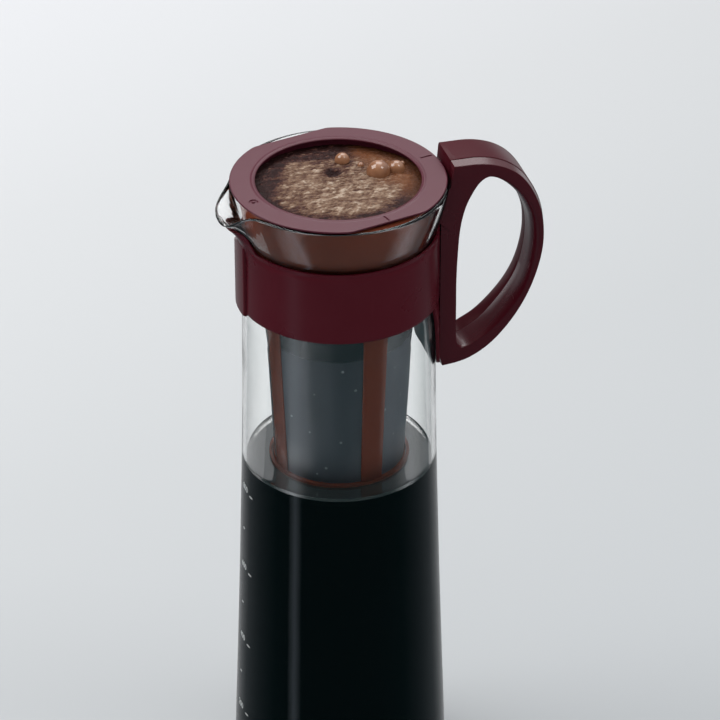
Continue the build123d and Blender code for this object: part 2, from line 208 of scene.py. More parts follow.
def lumps(x: Array, y: Array, count: int, reach: float, size: tuple[float, float], seed: int) -> Array:
    """Field of round lumps: the highest of many domes 1 - (distance / size)^2, never below 0.

    Args:
        x: places.
        y: places.
        count: number of lumps.
        reach: radius of the disc that they are scattered on.
        size: smallest and largest radius.
        seed: makes the scatter the same every time.

    Returns:
        Heights, each dome scaled by its own radius.
    """
    rng = np.random.default_rng(seed)
    radius = reach * np.sqrt(rng.uniform(0.0, 1.0, count))
    turn = rng.uniform(0.0, TAU, count)
    sizes = rng.uniform(size[0], size[1], count)
    height = np.zeros_like(x)
    for at_x, at_y, own in zip(radius * np.cos(turn), radius * np.sin(turn), sizes):
        away = ((x - at_x) ** 2 + (y - at_y) ** 2) / own ** 2
        height = np.maximum(height, own * np.sqrt(np.clip(1.0 - away, 0.0, 1.0)))
    return height


# ------------------------------------------------------------------------------------ meshes
def polar(radius: Array, height: Array, angle: Array) -> Array:
    """Points (radius cos a, radius sin a, height), each value spread over the grid."""
    parts = np.broadcast_arrays(radius * np.cos(angle), radius * np.sin(angle), height)
    return np.stack(parts, axis=-1)


def turned(profile: Array, angles: Array) -> Array:
    """Surface of revolution: each (radius, height) of a profile carried round Z."""
    return polar(profile[:, :1], profile[:, 1:], angles)


def grid_faces(rows: int, columns: int, around: bool, along: bool) -> Array:
    """Quads of a grid of points, closed round its columns or along its rows where asked.

    Args:
        rows: number of rows.
        columns: points in a row.
        around: whether each row is a loop.
        along: whether the last row joins the first.

    Returns:
        Four point numbers for each quad.
    """
    row = np.arange(rows if along else rows - 1)
    column = np.arange(columns if around else columns - 1)
    r, c = np.meshgrid(row, column, indexing="ij")
    r1, c1 = (r + 1) % rows, (c + 1) % columns
    quads = np.stack([r * columns + c, r * columns + c1, r1 * columns + c1, r1 * columns + c], axis=-1)
    return quads.reshape(-1, 4)


@dataclass
class Shell:
    """One closed surface: loops of points, joined along or drawn to a point at either end."""

    points: Array
    along: bool = False
    first_pole: bool = False
    last_pole: bool = False
    uv: Array | None = None

    @classmethod
    def capped(cls, loops: Array, uv: Array | None = None) -> "Shell":
        """Tube of loops, each end drawn to the middle of its loop.

        Args:
            loops: rows x columns x 3 points.
            uv: rows x columns x 2 chart points.

        Returns:
            The closed surface.
        """
        ends = [loops[row].mean(axis=0) + 0.0 * loops[row] for row in (0, -1)]
        points = np.concatenate([ends[0][None], loops, ends[1][None]])
        chart = None if uv is None else np.concatenate([uv[:1], uv, uv[-1:]])
        return cls(points, first_pole=True, last_pole=True, uv=chart)

    def faces(self) -> Array:
        """Quads of the grid; a flat quad at a pole repeats a corner.

        Returns:
            Four point numbers for each quad.
        """
        rows, columns = self.points.shape[:2]
        quads = grid_faces(rows, columns, True, self.along)
        if self.first_pole:
            quads[quads < columns] = 0
        if self.last_pole:
            quads[quads >= (rows - 1) * columns] = (rows - 1) * columns
        return quads

    def volume(self) -> float:
        """Signed volume: sixths of the triple products of its triangles.

        Returns:
            Cubic millimetres, below zero where the faces point inwards.
        """
        flat = self.points.reshape(-1, 3)
        a, b, c, d = (flat[corner] for corner in self.faces().T)
        return float((np.cross(a, b) * c).sum() + (np.cross(a, c) * d).sum()) / 6.0


class Rows:
    """Rows of radius and height round one turn, stacked into the grid of a closed surface."""

    def __init__(self, angles: Array) -> None:
        """Start with no rows.

        Args:
            angles: the angles that every row has.
        """
        self.angles = angles
        self.radii: list[Array] = []
        self.heights: list[Array] = []

    def add(self, radius: Array | float, height: Array | float) -> None:
        """Add one row or several, each value spread over the turn.

        Args:
            radius: a number, or rows of radii.
            height: a number, or rows of heights.
        """
        shape = np.broadcast_shapes(np.shape(radius), np.shape(height), (1, len(self.angles)))
        self.radii.append(np.broadcast_to(radius, shape))
        self.heights.append(np.broadcast_to(height, shape))

    def add_all(self, pairs: Array) -> None:
        """Add one level row for each (radius, height)."""
        for radius, height in pairs:
            self.add(radius, height)

    def shell(self, **ends: bool) -> Shell:
        """Join the rows into a surface with the given ends."""
        points = polar(np.concatenate(self.radii), np.concatenate(self.heights), self.angles)
        return Shell(points, **ends)


def face_lists(quads: Array) -> list[list[int]]:
    """Quads as lists, where a corner that is repeated makes the face a triangle.

    Args:
        quads: four point numbers for each face.

    Returns:
        Point numbers of each quad, then of each triangle.
    """
    plain = (quads != np.roll(quads, 1, axis=1)).all(axis=1)
    tips = [list(dict.fromkeys(quad)) for quad in quads[~plain].tolist()]
    return quads[plain].tolist() + [tip for tip in tips if len(tip) == 3]


def link_piece(name: str, points: Array, faces: list[list[int]]) -> bpy.types.Object:
    """Add a mesh object at the origin.

    Args:
        name: the object's name.
        points: n x 3 points in millimetres.
        faces: point numbers of each face.

    Returns:
        The object, with its mesh in metres.
    """
    mesh = bpy.data.meshes.new(name)
    mesh.from_pydata((points * MM).tolist(), [], faces)
    mesh.update()
    piece = bpy.data.objects.new(name, mesh)
    bpy.context.scene.collection.objects.link(piece)
    return piece


def make_object(name: str, shells: list[Shell], crease: float = 38.0) -> bpy.types.Object:
    """Put closed shells into one smooth mesh object, with faces outwards.

    Args:
        name: the object's name.
        shells: closed surfaces in millimetres.
        crease: edges sharper than this many degrees stay sharp.

    Returns:
        The object, at the origin.
    """
    vertices, faces, charts, base = [], [], [], 0
    for shell in shells:
        quads = shell.faces()
        if shell.volume() < 0:
            quads = quads[:, ::-1]
        used, packed = np.unique(quads, return_inverse=True)
        vertices.append(shell.points.reshape(-1, 3)[used])
        if shell.uv is not None:
            charts.append(shell.uv.reshape(-1, 2)[used])
        faces += face_lists(packed.reshape(quads.shape) + base)
        base += len(used)
    piece = link_piece(name, np.concatenate(vertices), faces)
    mesh = piece.data
    mesh.polygons.foreach_set("use_smooth", np.ones(len(mesh.polygons), bool))
    if charts:
        corner = np.empty(len(mesh.loops), np.int32)
        mesh.loops.foreach_get("vertex_index", corner)
        layer = mesh.uv_layers.new(name="UVMap")
        layer.data.foreach_set("uv", np.concatenate(charts)[corner].ravel().astype(np.float32))
    mesh.set_sharp_from_angle(angle=math.radians(crease))
    mesh.validate()
    mesh.update()
    return piece


# ------------------------------------------------------------------------------------ finishes
class Value:
    """Output of a shader node with arithmetic: each operation adds one Math node."""

    def __init__(self, kit: "Nodes", socket: bpy.types.NodeSocket) -> None:
        self.kit, self.socket = kit, socket

    def __add__(self, other: "Value | float") -> "Value":
        """Sum."""
        return self.kit.math("ADD", self, other)

    def __radd__(self, other: float) -> "Value":
        """Sum with a number in front."""
        return self.kit.math("ADD", other, self)

    def __sub__(self, other: "Value | float") -> "Value":
        """Difference."""
        return self.kit.math("SUBTRACT", self, other)

    def __rsub__(self, other: float) -> "Value":
        """Difference from a number."""
        return self.kit.math("SUBTRACT", other, self)

    def __mul__(self, other: "Value | float") -> "Value":
        """Product."""
        return self.kit.math("MULTIPLY", self, other)

    def __truediv__(self, other: "Value | float") -> "Value":
        """Share."""
        return self.kit.math("DIVIDE", self, other)

    def __abs__(self) -> "Value":
        """Size without its sign."""
        return self.kit.math("ABSOLUTE", self)

    def __gt__(self, other: "Value | float") -> "Value":
        """1 where it is more, else 0."""
        return self.kit.math("GREATER_THAN", self, other)

    def __lt__(self, other: "Value | float") -> "Value":
        """1 where it is less, else 0."""
        return self.kit.math("LESS_THAN", self, other)

    def at_least(self, other: "Value | float") -> "Value":
        """The larger of two."""
        return self.kit.math("MAXIMUM", self, other)

    def at_most(self, other: "Value | float") -> "Value":
        """The smaller of two."""
        return self.kit.math("MINIMUM", self, other)

    def sine(self) -> "Value":
        """Sine of radians."""
        return self.kit.math("SINE", self)


class Nodes:
    """Short way to write a shader tree."""

    def __init__(self, tree: bpy.types.NodeTree) -> None:
        """Keep the tree that nodes are added to."""
        self.tree = tree

    def join(self, value: object, socket: bpy.types.NodeSocket) -> None:
        """Link a value to an input, or set a constant on it.

        Args:
            value: a Value, or a number, colour or vector.
            socket: the input.
        """
        if isinstance(value, Value):
            self.tree.links.new(value.socket, socket)
        else:
            socket.default_value = value

    def add(self, kind: str, settings: dict[str, object] | None = None,
            **inputs: object) -> dict[str, Value]:
        """Add a node, set its properties, and set or link its inputs.

        Args:
            kind: node type name.
            settings: properties of the node.
            **inputs: values of its inputs; underscores stand for spaces.

        Returns:
            Its outputs by name.
        """
        node = self.tree.nodes.new(kind)
        for key, value in (settings or {}).items():
            setattr(node, key, value)
        for key, value in inputs.items():
            self.join(value, node.inputs[key.replace("_", " ")])
        return {socket.name: Value(self, socket) for socket in node.outputs}

    def math(self, operation: str, first: object, second: object = 0.0) -> Value:
        """Add a Math node on two values.

        Args:
            operation: name of the operation.
            first: a Value or a number.
            second: a Value or a number.

        Returns:
            The result.
        """
        node = self.tree.nodes.new("ShaderNodeMath")
        node.operation = operation
        self.join(first, node.inputs[0])
        self.join(second, node.inputs[1])
        return Value(self, node.outputs[0])

    def mix(self, share: object, a: object, b: object) -> Value:
        """Mix two colours.

        Args:
            share: how much of the second colour.
            a: first colour.
            b: second colour.

        Returns:
            The mixed colour.
        """
        node = self.tree.nodes.new("ShaderNodeMix")
        node.data_type = "RGBA"
        for place, value in ((0, share), (6, a), (7, b)):
            self.join(value, node.inputs[place])
        return Value(self, node.outputs[2])

    def ramp(self, value: Value, *stops: tuple[float, Colour]) -> Value:
        """Colour ramp.

        Args:
            value: place on the ramp.
            *stops: places and their colours.

        Returns:
            The colour.
        """
        node = self.tree.nodes.new("ShaderNodeValToRGB")
        self.join(value, node.inputs[0])
        band = node.color_ramp
        while len(band.elements) < len(stops):
            band.elements.new(0.5)
        for element, (place, shade) in zip(band.elements, stops):
            element.position = place
            element.color = shade
        return Value(self, node.outputs[0])

    def place(self, kind: str = "Object") -> Value:
        """Texture coordinates of a kind."""
        return self.add("ShaderNodeTexCoord")[kind]

    def noise(self, place: Value, scale: float | Value, detail: float, **more: float) -> Value:
        """Value of a noise texture."""
        return self.add("ShaderNodeTexNoise", Vector=place, Scale=scale, Detail=detail, **more)["Fac"]

    def split(self, vector: Value) -> tuple[Value, Value, Value]:
        """X, Y and Z of a vector."""
        parts = self.add("ShaderNodeSeparateXYZ", Vector=vector)
        return parts["X"], parts["Y"], parts["Z"]


def colour(red: float, green: float, blue: float) -> Colour:
    """Linear colour with full alpha."""
    return (red, green, blue, 1.0)


def grey(tone: float) -> Colour:
    """Neutral colour."""
    return colour(tone, tone, tone)


class Group:
    """A shared shader group that gives a colour, a roughness and a height."""

    def __init__(self, name: str, inputs: dict[str, float | Colour]) -> None:
        """Make the group's sockets.

        Args:
            name: name of the group.
            inputs: default value of each input, a number or a colour.
        """
        self.tree = bpy.data.node_groups.new(name, "ShaderNodeTree")
        sockets = self.tree.interface
        for key, value in inputs.items():
            kind = "NodeSocketColor" if isinstance(value, tuple) else "NodeSocketFloat"
            sockets.new_socket(name=key, in_out="INPUT", socket_type=kind).default_value = value
        for key, kind in (("Colour", "Color"), ("Roughness", "Float"), ("Height", "Float")):
            sockets.new_socket(name=key, in_out="OUTPUT", socket_type=f"NodeSocket{kind}")
        self.kit = Nodes(self.tree)
        self.given = self.kit.add("NodeGroupInput")

    def give(self, **results: Value) -> bpy.types.NodeTree:
        """Link the results to the group's outputs and give its tree."""
        self.kit.add("NodeGroupOutput", **results)
        return self.tree


def moulded_group() -> bpy.types.NodeTree:
    """Moulded surface: cloudy colour, uneven gloss, fine grain and a few rubbed hairlines.

    Returns:
        The group's tree.
    """
    group = Group("moulded_surface", {
        "Colour": grey(0.5), "Rubbed Colour": grey(0.6), "Cloud": 0.3, "Cloud Size": 40.0,
        "Gloss": 0.3, "Gloss Spread": 0.1, "Grain Size": 900.0, "Rubbing": 0.2})
    kit, given = group.kit, group.given
    place = kit.place()
    cloud = kit.noise(place, given["Cloud Size"], 4.0, Roughness=0.6)
    grain = kit.noise(place, given["Grain Size"], 2.0)
    streaks = kit.add("ShaderNodeMapping", Vector=place, Scale=(900.0, 900.0, 60.0))["Vector"]
    rubbed = (kit.noise(streaks, 1.0, 1.0) - 0.66).at_least(0.0) * 6.0 * given["Rubbing"]
    dull = ((cloud - 0.5) * given["Cloud"]).at_least(0.0)
    deeper = kit.mix(dull, given["Colour"], given["Rubbed Colour"])
    rough = given["Gloss"] + (cloud - 0.5) * given["Gloss Spread"] + rubbed * 0.15
    return group.give(Colour=kit.mix(rubbed, deeper, given["Rubbed Colour"]), Roughness=rough,
                      Height=grain)


def weave_group() -> bpy.types.NodeTree:
    """Plain weave on the UV map: two crossed sine ridges that pass over each other in turn, with
    wet clouds and small near-white specks of painted glint.

    Returns:
        The group's tree.
    """
    group = Group("plain_weave", {
        "Threads": 400.0, "Thread Colour": grey(0.1), "Gap Colour": grey(0.0),
        "Wet Colour": grey(0.0), "Gloss": 0.4})
    kit, given = group.kit, group.given
    across, upward, _ = kit.split(kit.place("UV"))
    warp = (across * given["Threads"]).sine()
    weft = (upward * given["Threads"]).sine()
    over = warp * weft > 0.0
    height = abs(warp) * over + abs(weft) * (1.0 - over)
    thread = kit.mix(height, given["Gap Colour"], given["Thread Colour"])
    place = kit.place()
    wet = (kit.noise(place, 70.0, 5.0, Roughness=0.65) - 0.48).at_least(0.0) * 4.0
    damp = kit.mix(wet.at_most(0.8), thread, given["Wet Colour"])
    # painted glints: small Voronoi specks coloured near white, with a lower roughness, where droplets
    # would sparkle
    drop_glint = kit.add("ShaderNodeTexVoronoi", Vector=place, Scale=160.0)["Distance"] < 0.095
    return group.give(Colour=kit.mix(drop_glint * 0.9, damp, colour(0.75, 0.80, 0.84)),
                      Roughness=given["Gloss"] - drop_glint * 0.2, Height=height)


class Groups:
    """The shared shader groups, each built once."""

    def __init__(self) -> None:
        """Build them."""
        self.moulded = moulded_group()
        self.weave = weave_group()


class Surface:
    """A new material: its Principled shader and the nodes that feed it."""

    def __init__(self, name: str, **constants: object) -> None:
        """Make the material.

        Args:
            name: name of the material.
            **constants: values of the shader's own sockets; underscores stand for spaces.
        """
        self.material = bpy.data.materials.new(name)
        self.material.use_nodes = True
        self.kit = Nodes(self.material.node_tree)
        self.shader = self.material.node_tree.nodes["Principled BSDF"]
        self.feed(**constants)

    def feed(self, **values: object) -> None:
        """Set or link the shader's sockets; underscores stand for spaces."""
        for key, value in values.items():
            self.kit.join(value, self.shader.inputs[key.replace("_", " ")])

    def bump(self, height: Value, strength: float, distance: float) -> None:
        """Drive the shader's normal from a height."""
        self.feed(Normal=self.kit.add("ShaderNodeBump", Height=height, Strength=strength,
                                      Distance=distance)["Normal"])


@dataclass(frozen=True)
class MouldedPlastic:
    """Injection-moulded plastic."""

    name: str
    base: Colour
    rubbed: Colour
    gloss: float = 0.32
    spread: float = 0.10
    cloud: float = 0.5
    grain: float = 0.06
    rubbing: float = 0.12
    mirror: float = 0.5

    def build(self, groups: Groups) -> bpy.types.Material:
        """Make the material.

        Args:
            groups: the shared shader groups.

        Returns:
            The material.
        """
        surface = Surface(self.name, IOR=1.49, Specular_IOR_Level=self.mirror)
        moulded = surface.kit.add(
            "ShaderNodeGroup", {"node_tree": groups.moulded}, Colour=self.base,
            Rubbed_Colour=self.rubbed, Cloud=self.cloud, Cloud_Size=38.0, Gloss=self.gloss,
            Gloss_Spread=self.spread, Grain_Size=1400.0, Rubbing=self.rubbing)
        surface.feed(Base_Color=moulded["Colour"], Roughness=moulded["Roughness"])
        surface.bump(moulded["Height"], self.grain, 0.0003)
        return surface.material


@dataclass(frozen=True)
class ClearGlass:
    """Blown borosilicate glass with slow waves in its surface."""

    name: str = "clear_glass"
    tint: Colour = (0.985, 0.995, 0.992, 1.0)
    waves: float = 0.05

    def build(self) -> bpy.types.Material:
        """Make the material.

        Returns:
            The material.
        """
        surface = Surface(self.name, Base_Color=self.tint, Roughness=0.0, IOR=1.47,
                          Transmission_Weight=1.0)
        slow = surface.kit.noise(surface.kit.place(), 28.0, 1.0)
        surface.bump(slow, self.waves, 0.004)
        return surface.material


@dataclass(frozen=True)
class Brew:
    """Black coffee: nearly opaque liquid, hazed between a deep colour and a film colour; on the open
    top both are greys of painted reflection.
    """

    name: str
    deep: Colour
    # on the open top this grey is painted reflection of the pale surroundings
    film: Colour
    mirror: float
    ior: float = 1.34

    def build(self) -> bpy.types.Material:
        """Make the material.

        Returns:
            The material.
        """
        surface = Surface(self.name, IOR=self.ior, Specular_IOR_Level=self.mirror)
        haze = surface.kit.noise(surface.kit.place(), 30.0, 6.0, Roughness=0.6)
        surface.feed(Base_Color=surface.kit.mix(haze, self.deep, self.film),
                     Roughness=0.03 + haze * 0.05)
        return surface.material


@dataclass(frozen=True)
class WetFoam:
    """Blooming grounds: tan froth over dark wet grounds, rust where the brew shows through."""

    name: str = "coffee_bloom"
    stretch: tuple[float, float, float] = (0.45, 1.0, 1.0)
    rust_tone: Colour = (0.215, 0.074, 0.024, 1.0)

    def build(self) -> bpy.types.Material:
        """Make the material.

        Returns:
            The material.
        """
        surface = Surface(self.name, IOR=1.36, Specular_IOR_Level=0.34)
        kit = surface.kit
        froth, rust = (kit.add("ShaderNodeAttribute", {"attribute_name": name})["Fac"]
                       for name in ("froth", "rust"))
        place = kit.add("ShaderNodeMapping", Vector=kit.place(), Scale=self.stretch)["Vector"]
        speck = kit.noise(place, 1150.0, 5.0, Roughness=0.75)
        patch = kit.noise(place, 300.0, 5.0, Roughness=0.65, Distortion=0.6)
        blend = froth + (patch - 0.5) * 0.9 + (speck - 0.5) * 1.2
        tone = kit.ramp(blend, (0.08, colour(0.027, 0.009, 0.008)),
                        (0.28, colour(0.076, 0.027, 0.022)), (0.48, colour(0.140, 0.070, 0.043)),
                        (0.72, colour(0.29, 0.180, 0.118)), (1.0, colour(0.64, 0.50, 0.39)))
        surface.feed(Base_Color=kit.mix(rust * 0.72, tone, self.rust_tone),
                     Roughness=0.15 - rust * 0.05 + froth * 0.25)
        surface.bump(speck + patch * 1.5, 0.9, 0.0008)
        return surface.material


@dataclass(frozen=True)
class BubbleFilm:
    """Amber skin of a coffee bubble, lighter and darker where it drains."""

    name: str = "bubble_film"
    thick: Colour = (0.210, 0.082, 0.036, 1.0)
    thin: Colour = (0.40, 0.19, 0.100, 1.0)

    def build(self) -> bpy.types.Material:
        """Make the material.

        Returns:
            The material.
        """
        surface = Surface(self.name, IOR=1.5, Specular_IOR_Level=1.0)
        drain = surface.kit.noise(surface.kit.place(), 190.0, 2.0)
        surface.feed(Base_Color=surface.kit.ramp(drain, (0.30, self.thick), (0.70, self.thin)),
                     Roughness=0.04 + drain * 0.08)
        return surface.material


@dataclass(frozen=True)
class StrainerMesh:
    """Fine polyester mesh, wet from inside, with painted shade of the neck band: a near black band
    above a line just under it.
    """

    name: str = "strainer_mesh"
    thread: Colour = (0.106, 0.127, 0.176, 1.0)
    gap: Colour = (0.022, 0.026, 0.037, 1.0)
    wet: Colour = (0.062, 0.073, 0.100, 1.0)
    # painted shade: near black for the strip of mesh under the neck band, where the band's shadow
    # falls
    band_shade: Colour = (0.013, 0.011, 0.012, 1.0)
    pitch: float = 0.28
    # height of the painted shade's lower edge, and its blur
    shade_line: float = 0.2208
    shade_line_blur: float = 0.0006

    def build(self, groups: Groups) -> bpy.types.Material:
        """Make the material.

        Args:
            groups: the shared shader groups.

        Returns:
            The material.
        """
        surface = Surface(self.name, IOR=2.1, Specular_IOR_Level=0.8, Sheen_Weight=0.10,
                          Sheen_Roughness=0.35, Sheen_Tint=colour(0.8, 0.85, 0.95))
        kit = surface.kit
        weave = kit.add(
            "ShaderNodeGroup", {"node_tree": groups.weave}, Threads=math.pi / self.pitch,
            Thread_Colour=self.thread, Gap_Colour=self.gap, Wet_Colour=self.wet, Gloss=0.34)
        height = kit.split(kit.place())[2]
        # painted shade of the neck band: above this height the colour is mixed toward a near black and
        # the roughness drops
        above = kit.add("ShaderNodeMapRange", Value=height, From_Min=self.shade_line - self.shade_line_blur,
                        From_Max=self.shade_line + self.shade_line_blur)["Result"] * 0.86
        surface.feed(Base_Color=kit.mix(above, weave["Colour"], self.band_shade),
                     Roughness=weave["Roughness"] - above * 0.16)
        surface.bump(weave["Height"], 0.25, 0.0001)
        return surface.material


@dataclass(frozen=True)
class ScaleInk:
    """White enamel of the printed scale."""

    name: str = "scale_ink"

    def build(self) -> bpy.types.Material:
        """Make the material.

        Returns:
            The material.
        """
        surface = Surface(self.name, IOR=1.5)
        wear = surface.kit.noise(surface.kit.place(), 1500.0, 3.0)
        tone = surface.kit.mix(wear, colour(0.62, 0.66, 0.66), colour(0.80, 0.82, 0.82))
        surface.feed(Base_Color=tone, Roughness=0.35 + wear * 0.2)
        return surface.material


DEEP_BREW = Brew("brewed_coffee", colour(0.0010, 0.0011, 0.0011), grey(0.0016), 0.0)
# painted reflection: the open top's grey colours stand in for the pale surroundings mirrored on the
# coffee
OPEN_BREW_PAINTED_SHEEN = Brew("coffee_top", colour(0.050, 0.052, 0.048), colour(0.085, 0.087, 0.080), 0.5, 2.7)
BURGUNDY = MouldedPlastic("burgundy_plastic", colour(0.086, 0.0050, 0.0120),
                          colour(0.120, 0.014, 0.026), gloss=0.28, mirror=0.34)
HANDLE_BURGUNDY = MouldedPlastic("handle_plastic", colour(0.064, 0.0040, 0.0094),
                                 colour(0.092, 0.011, 0.020), gloss=0.36, mirror=0.13)
COVER_BURGUNDY = MouldedPlastic("handle_cover_plastic", colour(0.070, 0.0042, 0.0100),
                                colour(0.100, 0.012, 0.022), gloss=0.26, mirror=0.60)
RING_BURGUNDY = MouldedPlastic("ring_plastic", colour(0.092, 0.0085, 0.0225),
                               colour(0.130, 0.022, 0.040), gloss=0.40, mirror=0.53, spread=0.22)
BROWN = MouldedPlastic("brown_plastic", colour(0.270, 0.062, 0.030), colour(0.31, 0.098, 0.052),
                       gloss=0.22, mirror=0.40)


def dress(piece: bpy.types.Object, material: bpy.types.Material, slot: str, body: str,
          *stands_for: str) -> None:
    """Give a piece its material and its body, and hide what it stands for.

    Args:
        piece: the object.
        material: its finish.
        slot: not used.
        body: body that it rides on.
        *stands_for: nodes that it replaces.
    """
    piece.data.materials.clear()
    piece.data.materials.append(material)
    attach(piece, body)
    if stands_for:
        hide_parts(*stands_for)
    LOG.info("%s: %d faces, rides on %s", piece.name, len(piece.data.polygons), body)


# ------------------------------------------------------------------------------------ glass jug
@dataclass
class GlassJug:
    """Blown jug with a drawn beak, and the scale printed on it."""

    glass: bpy.types.Material
    ink: bpy.types.Material
    wall: float = 1.8
    floor: float = 3.2
    height: float = 287.4
    corner: float = 9.0
    beak_reach: float = 8.5
    beak_angle: float = 185.0
    beak_low: float = 261.0
    beak_drop: float = 8.9
    pinch: float = 0.7
    pinch_from: float = 27.0
    lip_growth: float = 0.9
    neck: float = 226.0
    ink_low: float = 0.05
    ink_high: float = 0.11
    label_size: float = 3.9
    label_angle: float = 182.6
    bar_angle: float = 191.4
    tick_angle: float = 181.5
    labels: tuple[tuple[str, float], ...] = (
        ("800", 148.0), ("600", 109.5), ("400", 73.5), ("200", 38.0))
    ticks: tuple[float, ...] = (128.8, 91.6, 56.0)
    heights: tuple[float, ...] = (9.0, 20.0, 52.0, 99.0, 130.0, 160.0, 196.0, 226.0, 238.0, 256.0,
                                  262.0, 267.0, 272.1, 278.0, 283.0, 286.0, 287.4)
    radii: tuple[float, ...] = (45.49, 45.3, 44.1, 42.4, 41.45, 40.55, 39.8, 39.4, 38.4, 38.4,
                                38.75, 39.5, 41.1, 42.8, 43.9, 44.3, 44.4)
    reach_shares: tuple[tuple[float, float], ...] = (
        (0.0, 1.0), (4.0, 0.985), (8.0, 0.90), (11.0, 0.73), (14.0, 0.48), (17.0, 0.26),
        (20.0, 0.11), (24.0, 0.03), (29.0, 0.0))
    drop_shares: tuple[tuple[float, float], ...] = (
        (0.0, 1.0), (5.0, 0.93), (9.0, 0.74), (12.0, 0.53), (15.0, 0.33), (19.0, 0.15), (25.0, 0.04),
        (32.0, 0.0))
    foot_rows: tuple[tuple[float, float], ...] = ((30.0, 0.0), (28.0, 0.6), (14.0, 0.9), (0.0, 0.9))

    def wall_radius(self, height: Array) -> Array:
        """Outside radius away from the beak: smooth curve through the measured heights."""
        return smooth_curve(np.array(self.heights), np.array(self.radii), height)

    def from_beak(self, angle: Array) -> Array:
        """Degrees from the beak's middle, signed."""
        return np.degrees(wrap_angle(angle - math.radians(self.beak_angle)))

    def rise(self, height: Array) -> Array:
        """Share of the way from the beak's foot up to the rim."""
        return np.clip((height - self.beak_low) / (self.height - self.beak_low), 0.0, 1.0)

    def outer_radius(self, angle: Array, height: Array) -> Array:
        """Outside radius: the wall, the beak's bulge that grows with the cube of the rise, and the
        slight inward pull of the rim beside the beak.

        Args:
            angle: angles round the jug in radians.
            height: heights before the droop.

        Returns:
            Radii over both.
        """
        rise = self.rise(height)
        pull = self.pinch * np.exp(-((self.from_beak(angle) + self.pinch_from) / 9.0) ** 2) * rise ** 2
        return (self.wall_radius(self.drooped(angle, height))
                + self.beak_reach * self.beak_share(angle) * rise ** 3.0 - pull)

    def beak_share(self, angle: Array) -> Array:
        """How much of the beak's reach an angle has."""
        return smooth_curve(*np.array(self.reach_shares).T, np.abs(self.from_beak(angle)))

    def drooped(self, angle: Array, height: Array) -> Array:
        """Height with the beak's tip bent down: falls with the square of the rise."""
        share = smooth_curve(*np.array(self.drop_shares).T, np.abs(self.from_beak(angle)))
        return height - self.beak_drop * share * self.rise(height) ** 2

    def outside_at(self, angle: Array, height: Array) -> Array:
        """Outside radius at a height after the droop: the rise is corrected in a few steps.

        Args:
            angle: angles round the jug in radians.
            height: heights after the droop.

        Returns:
            Radii over both.
        """
        before = height + 0.0 * angle
        for _ in range(6):
            before = before + (height - self.drooped(angle, before))
        return self.outer_radius(angle, before)

    def inner_foot(self) -> Array:
        """Quarter round from the floor up to the inside of the wall.

        Returns:
            Rows of (radius, height).
        """
        bend = self.corner - self.wall
        start = self.wall_radius(self.floor + self.corner) - self.wall
        return arc((start - bend, self.floor + bend), bend, -90, 0, 9)

    def build_glass(self) -> None:
        """Wall as rows of (radius, height): floor, inside, rolled rim, outside, foot."""
        angles = dense_turn(340, (184.0,), 20.0, 3.5)
        turn, half = angles[None, :], self.wall / 2.0
        rise = np.concatenate([
            np.linspace(self.floor + self.corner - self.wall, self.neck, 40)[:-1],
            np.linspace(self.neck, self.height - half, 47)])[:, None]
        thick = self.wall + self.lip_growth * self.beak_share(turn) * self.rise(rise) ** 6
        inside = self.outer_radius(turn, rise) - thick
        rim = (inside[-1:] + self.outer_radius(turn, rise[-1:])) / 2.0
        rows = Rows(angles)
        rows.add_all([(radius, self.floor) for radius in (0.0, 12.0, 26.0)])
        rows.add_all(self.inner_foot())
        rows.add(inside, self.drooped(turn, rise))
        for away, height in arc((0.0, self.height - half), half, 180, 0, 11)[1:-1]:
            rows.add(rim + away / half * thick[-1:] / 2.0, self.drooped(turn, height))
        rows.add(self.outer_radius(turn, rise[::-1]), self.drooped(turn, rise[::-1]))
        outer_start = self.wall_radius(self.corner) - self.corner
        rows.add_all(arc((outer_start, self.corner), self.corner, 0, -90, 10))
        rows.add_all(self.foot_rows)
        shell = rows.shell(first_pole=True, last_pole=True)
        dress(make_object("jug_glass", [shell], 60.0), self.glass, "glass", "jug", "glass_jug")

    def build_scale(self) -> None:
        """Numerals and ticks as thin plates laid on the glass: (x, y) becomes (angle, height)."""
        plates = []
        for label, height in self.labels:
            plates.append(self.label_mesh(label, self.label_angle, height + 1.2, self.label_size))
            plates.append(self.bar_mesh(self.bar_angle, height, 2.6, 0.45))
        plates += [self.bar_mesh(self.tick_angle, height, 1.8, 0.40) for height in self.ticks]
        faces, base = [], 0
        for points, polygons in plates:
            faces += [[corner + base for corner in polygon] for polygon in polygons]
            base += len(points)
        piece = link_piece("scale_print", np.concatenate([points for points, _ in plates]), faces)
        dress(piece, self.ink, "scale_print", "jug")

    def wrapped(self, flat: Array, centre: float, height: float, lift: Array | float) -> Array:
        """Flat (x, y) points laid on the glass, lifted off it by a little.

        Args:
            flat: n x 2 points.
            centre: angle of the middle in degrees.
            height: height of the middle.
            lift: distance from the glass.

        Returns:
            n x 3 points.
        """
        z = height + flat[:, 1]
        radius = self.wall_radius(z) + lift
        return polar(radius, z, math.radians(centre) + flat[:, 0] / radius)

